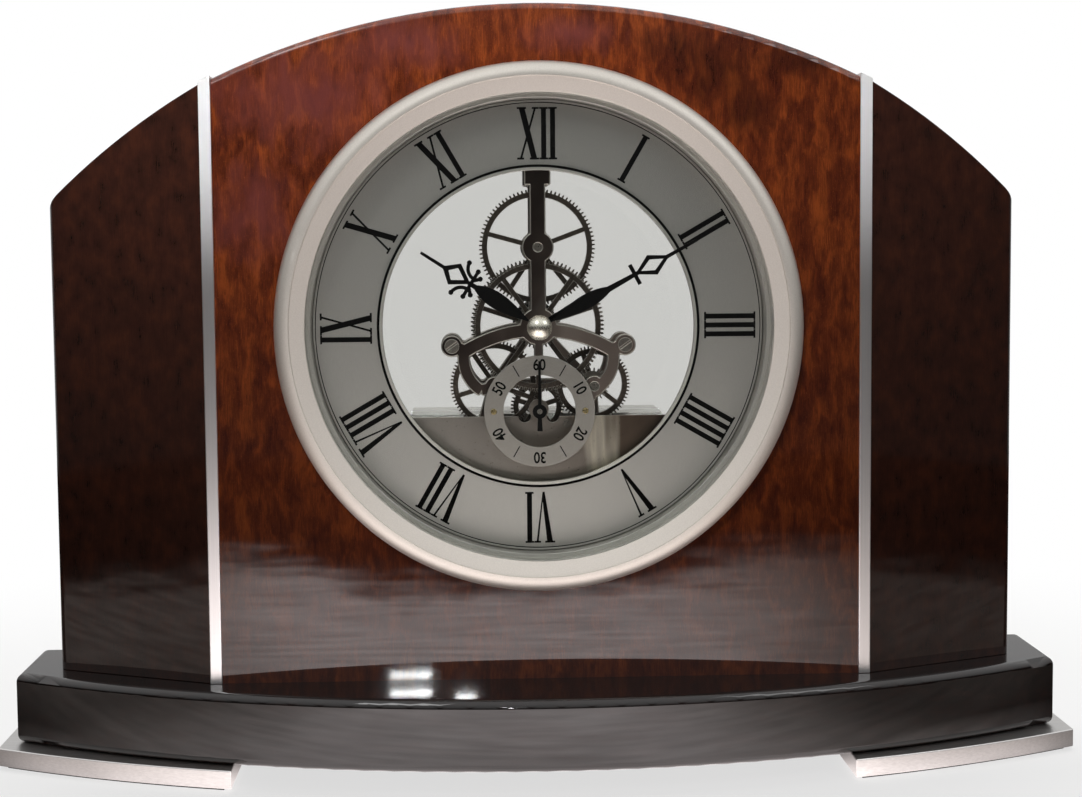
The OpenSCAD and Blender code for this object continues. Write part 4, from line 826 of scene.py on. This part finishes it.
def darkRing(name, facts):
    bm = bmesh.new()
    rows = []
    for i in range(facts["steps"]):
        turn = 2 * math.pi * i / facts["steps"]
        way = Vector((math.sin(turn), 0, math.cos(turn)))
        row = []
        for side, depth in ((-0.5, "front"), (0.5, "front"), (0.5, "back"), (-0.5, "back")):
            reach = facts["radius"] + side * facts["width"]
            row.append(bm.verts.new(hub + (way * reach + Vector((0, facts[depth], 0))) * mm))
        rows.append(row)
    for i, row in enumerate(rows):
        after = rows[(i + 1) % len(rows)]
        for j in range(4):
            k = (j + 1) % 4
            bm.faces.new((row[j], row[k], after[k], after[j]))
    addPiece(name, bm, inkAndShadeFinish, "case")


darkRing("dial_gap_painted_shade", dialGapShade)
darkRing("window_rim_painted_shade", rimEdgeShade)

# Seconds marks: a number every ten, and a short line half way between, apart from the places of the rivets
seconds = {"numbers": ["60", "10", "20", "30", "40", "50"], "numberRadius": 10.95, "size": 3.7,
           "bold": 0.07, "squeeze": 0.82, "front": 2.55, "back": 2.62,
           "lineTurns": [30, 150, 210, 330], "lineInner": 9.6, "lineOuter": 12.6, "lineWidth": 0.24}


def printSeconds(facts):
    bm = bmesh.new()
    for turn in facts["lineTurns"]:
        a = math.radians(turn)
        way = Vector((math.sin(a), math.cos(a)))
        side = Vector((math.cos(a), -math.sin(a))) * facts["lineWidth"] / 2
        inner, outer = way * facts["lineInner"], way * facts["lineOuter"]
        corners = [inner - side, inner + side, outer + side, outer - side]
        addPlate(bm, corners, facts["front"], facts["back"], secondsHub)
    for i, word in enumerate(facts["numbers"]):
        curve = bpy.data.curves.new("number", "FONT")
        curve.body = word
        curve.size = facts["size"]
        curve.offset = facts["bold"]
        curve.align_x, curve.align_y = "CENTER", "CENTER"
        curve.extrude = (facts["back"] - facts["front"]) / 2
        holder = bpy.data.objects.new("number", curve)
        bpy.context.scene.collection.objects.link(holder)
        bpy.context.view_layer.update()
        mesh = bpy.data.meshes.new_from_object(holder.evaluated_get(bpy.context.evaluated_depsgraph_get()))
        bpy.data.objects.remove(holder)
        # text lies in x and y, facing up: stand it up, set it on the face and turn it round the dial
        stand = Matrix.Rotation(math.radians(90), 4, "X") @ Matrix.Diagonal((facts["squeeze"], 1, 1, 1))
        lift = Matrix.Translation((0, (facts["front"] + facts["back"]) / 2, facts["numberRadius"]))
        turn = Matrix.Rotation(math.radians(360 / len(facts["numbers"]) * i), 4, "Y")
        mesh.transform(Matrix.Translation(secondsHub) @ Matrix.Scale(mm, 4) @ turn @ lift @ stand)
        bm.from_mesh(mesh)
        bpy.data.meshes.remove(mesh)
    addPiece("seconds_marks", bm, inkAndShadeFinish, "case")


printSeconds(seconds)
print("dial printed")

# Hands

# Steel hands, stamped and sprayed with black lacquer: nearly matt, with a thin light along the edges
hands = {"tone": "#090808", "deep": "#040404", "rough": 0.42, "grain": 0.2, "depth": 0.006,
         "ior": 1.5, "gloss": 0.12, "edge": 0.07}
handFinish = plastic("black lacquered steel", hands)
for hand in ("hour_hand", "minute_hand", "seconds_hand"):
    dress(hand, handFinish, hands)
# Nickel plated nut, turned to a dome and polished: one bright point at the centre
nut = {"tone": "#f4eee2", "deep": "#eae4d8", "rough": 0.27, "spread": 0.04, "ring": 0.25, "depth": 0.001, "edge": 0.1}
dress("hand_nut", metal("polished nickel dome", nut, hub), nut)

# Movement

# Chamfers where the cutter ran, left bright: thin light outlines round plates, wheels and screws
chamfer = {"tone": "#d5d0c8", "deep": "#bcb7af", "rough": 0.42, "spread": 0.05,
           "marks": (0.3, 0.3, 0.3), "depth": 0.002}
chamferMetal = metal("diamond cut chamfer", chamfer)
# Brass plates, stamped, chamfered and black nickel plated: dark brown metal, its tone lightened towards the lower right
# as a painted reflection of a lighter room
plates = {"way": (1, 0, -0.6), "start": -16, "end": 18, "streak": (7, 7, 9), "wander": 16,
          "tones": [(0.0, "#433a36"), (0.35, "#675b55"), (0.7, "#b0a299"), (1.0, "#998b83")],
          "rough": 0.33, "spread": 0.06, "grain": (0.4, 0.4, 0.4), "depth": 0.002, "edge": 0.3, "steps": 1}
plateMetal = paintedReflectionMetal("black nickel plated brass with painted reflection", plates)
for plate in ("front_plate", "back_plate"):
    dress(plate, plateMetal, plates, chamferMetal)
# Screw heads, turned, slotted and tumbled: light, with the slot as a dark line
plateScrew = {"tone": "#a39e97", "deep": "#6f6a64", "rough": 0.36, "spread": 0.08,
              "marks": (1.6, 1.6, 1.6), "depth": 0.002, "edge": 0.12, "steps": 1}
dress("plate_screws", metal("tumbled nickel plated screw", plateScrew), plateScrew, chamferMetal)
# Steel arbors and pinions, turned and burnished: a clean grey shine
train = {"tone": "#b5b0a8", "deep": "#969189", "rough": 0.3, "spread": 0.05,
         "marks": (0.3, 0.6, 0.3), "depth": 0.002, "edge": 0.05}
trainMetal = metal("burnished steel", train)
for part in ("pillars", "cover_posts", "centre_arbor", "hour_pipe", "minute_arbor", "third_arbor",
             "idler_arbor", "seconds_arbor", "cannon_pinion", "intermediate_arbor"):
    dress(part, trainMetal, train)
# Brass wheels, cut and black nickel plated: dark and satin between their bright edges
wheels = {"tone": "#72695f", "deep": "#4f4843", "rough": 0.36, "spread": 0.06,
          "marks": (0.4, 0.4, 0.4), "depth": 0.003, "edge": 0.08, "steps": 1}
wheelMetal = metal("black nickel plated wheel", wheels)
for wheel in ("hour_wheel", "minute_wheel", "centre_wheel", "third_wheel", "idler_wheel", "seconds_wheel"):
    dress(wheel, wheelMetal, wheels, chamferMetal)
print("movement dressed")

# Drive

# Cover of the drive, moulded in styrene with a smoked metallised face: glossy, with painted reflections of the table in
# soft patches across it, one of them a painted bright band
driveCover = {"way": (1, 0, 0.15), "start": -32, "end": 32, "streak": (2.4, 2.4, 16), "wander": 10,
              "tones": [(0.0, "#c8c1b9"), (0.3, "#b3aca4"), (0.58, "#a59b92"), (0.67, "#f4ecda"), (0.75, "#7c6c5f"),
                        (1.0, "#5d5047")],
              "rough": 0.3, "spread": 0.06, "grain": (0.4, 0.4, 0.4), "depth": 0.002, "edge": 0.12}
dress("drive_cover", paintedReflectionMetal("metallised smoked styrene with painted reflections", driveCover), driveCover)
# Black ABS knob, moulded: a soft dark sheen
knob = {"tone": "#2a2a2d", "deep": "#1f1f22", "rough": 0.5, "grain": 0.4, "depth": 0.03, "ior": 1.53, "edge": 0.15}
dress("set_knob", plastic("moulded black ABS", knob), knob)
# White ABS housings, moulded with a fine spark grain: pale and even
housing = {"tone": "#e6e5e1", "deep": "#dad9d5", "rough": 0.45, "grain": 0.4, "depth": 0.03, "ior": 1.53, "edge": 0.25}
whiteAbs = plastic("spark textured white ABS", housing)
for part in ("drive_case", "battery_tray", "battery_door"):
    dress(part, whiteAbs, housing)
# Acetal gear, moulded: milky and waxy
softGear = {"tone": "#ddd8cb", "deep": "#cfc9ba", "rough": 0.4, "grain": 0.5, "depth": 0.01, "ior": 1.48,
            "edge": 0.03, "steps": 1}
dress("intermediate_wheel", plastic("moulded acetal", softGear), softGear)
# Ferrite magnet, pressed and sintered: dull grey, like slate
magnet = {"tone": "#3b3b3e", "deep": "#2b2b2d", "rough": 0.55, "grain": 0.15, "depth": 0.02, "ior": 1.6, "edge": 0.05}
dress("rotor", plastic("sintered ferrite", magnet), magnet)
# Silicon steel core, stamped from rolled sheet: grey, with faint lines lengthwise
core = {"tone": "#8d8b88", "deep": "#74726f", "rough": 0.35, "spread": 0.08,
        "marks": (2.0, 0.3, 0.3), "depth": 0.006, "edge": 0.1}
dress("stator", metal("stamped silicon steel", core), core)
# Tinned steel, drawn or bent after plating: bright, with soft cloudy patches
tinned = {"tone": "#cfcecb", "deep": "#b3b2ae", "rough": 0.25, "spread": 0.08, "marks": (0.6, 0.6, 0.6), "depth": 0.004}
tinnedSteel = metal("tinned spring steel", tinned)
for part, edge in (("crystal", 0.15), ("battery_contacts", 0.1)):
    dress(part, tinnedSteel, {"edge": edge})

# Copper wire, enamelled and wound in close turns: shiny red brown ribs, drawn coarser than the real wire so they show,
# lighter on their crests and darker in the grooves between turns as painted sheen and shade
coil = {"light": "#b8703c", "dark": "#5a2a12", "turn": 0.589, "depth": 0.1, "edge": 0.2}


def woundCopper(facts):
    mat = startMaterial("enamelled copper wire")
    turns = addNode(mat, "TexWave", {
        "Vector": placeOn(mat, (facts["turn"],) * 3), "Scale": onePerUnit, "Distortion": 0.6,
        "bands_direction": "X"}).outputs["Fac"]
    # light on the crests, dark in the grooves: painted sheen and shade
    tones = addNode(mat, "ValToRGB", {
        "Fac": turns, "ramp": [(0.2, facts["dark"]), (0.8, facts["light"])]}).outputs["Color"]
    relief = addNode(mat, "Bump", {
        "Height": turns, "Strength": 0.7, "Distance": facts["depth"] * mm}).outputs["Normal"]
    return endMaterial(mat, addNode(mat, "BsdfPrincipled", {
        "Base Color": tones, "Metallic": 0.8, "Roughness": 0.3, "Normal": relief,
        "Coat Weight": 0.6, "Coat Roughness": 0.15}))


# Glass fibre board under green solder mask, screen printed: the weave shows faintly through it
circuitBoard = {"light": "#2c6a3f", "dark": "#1d4a2b", "weave": 0.5236, "rough": 0.35, "ior": 1.55,
                "edge": 0.08, "steps": 1}


def boardGreen(facts):
    mat = startMaterial("green solder mask on glass fibre")
    weave = addNode(mat, "TexWave", {
        "Vector": placeOn(mat, (facts["weave"],) * 3), "Scale": onePerUnit, "Distortion": 1.0}).outputs["Fac"]
    tones = addNode(mat, "ValToRGB", {
        "Fac": weave, "ramp": [(0.0, facts["dark"]), (1.0, facts["light"])]}).outputs["Color"]
    return endMaterial(mat, addNode(mat, "BsdfPrincipled", {
        "Base Color": tones, "Roughness": facts["rough"], "IOR": facts["ior"]}))


# Shrink sleeve round a dry cell, printed: black body, copper coloured band at the positive end
cell = {"bands": [(0.0, "#1c1c1e"), (0.24, "#242427"), (0.25, "#a8743f"), (0.47, "#b9834b"), (0.48, "#c9c8c4")],
        "length": 50, "crinkle": (1.2, 0.4, 0.4), "depth": 0.05, "edge": 0.5, "steps": 3}


def shrinkSleeve(facts):
    mat = startMaterial("printed shrink sleeve")
    length = addNode(mat, "SeparateXYZ", {0: placeOn(mat, (facts["length"],) * 3)}).outputs["X"]
    tones = addNode(mat, "ValToRGB", {"Fac": length, "ramp": facts["bands"]}).outputs["Color"]
    crinkle = addNode(mat, "TexNoise", {
        "Vector": placeOn(mat, facts["crinkle"]), "Scale": 1.0, "Detail": 2.0}).outputs["Fac"]
    relief = addNode(mat, "Bump", {
        "Height": crinkle, "Strength": 0.3, "Distance": facts["depth"] * mm}).outputs["Normal"]
    return endMaterial(mat, addNode(mat, "BsdfPrincipled", {
        "Base Color": tones, "Roughness": 0.3, "Metallic": 0.3, "Normal": relief}))


dress("coil", woundCopper(coil), coil)
dress("circuit_board", boardGreen(circuitBoard), circuitBoard)
dress("battery", shrinkSleeve(cell), cell)
print("drive dressed")
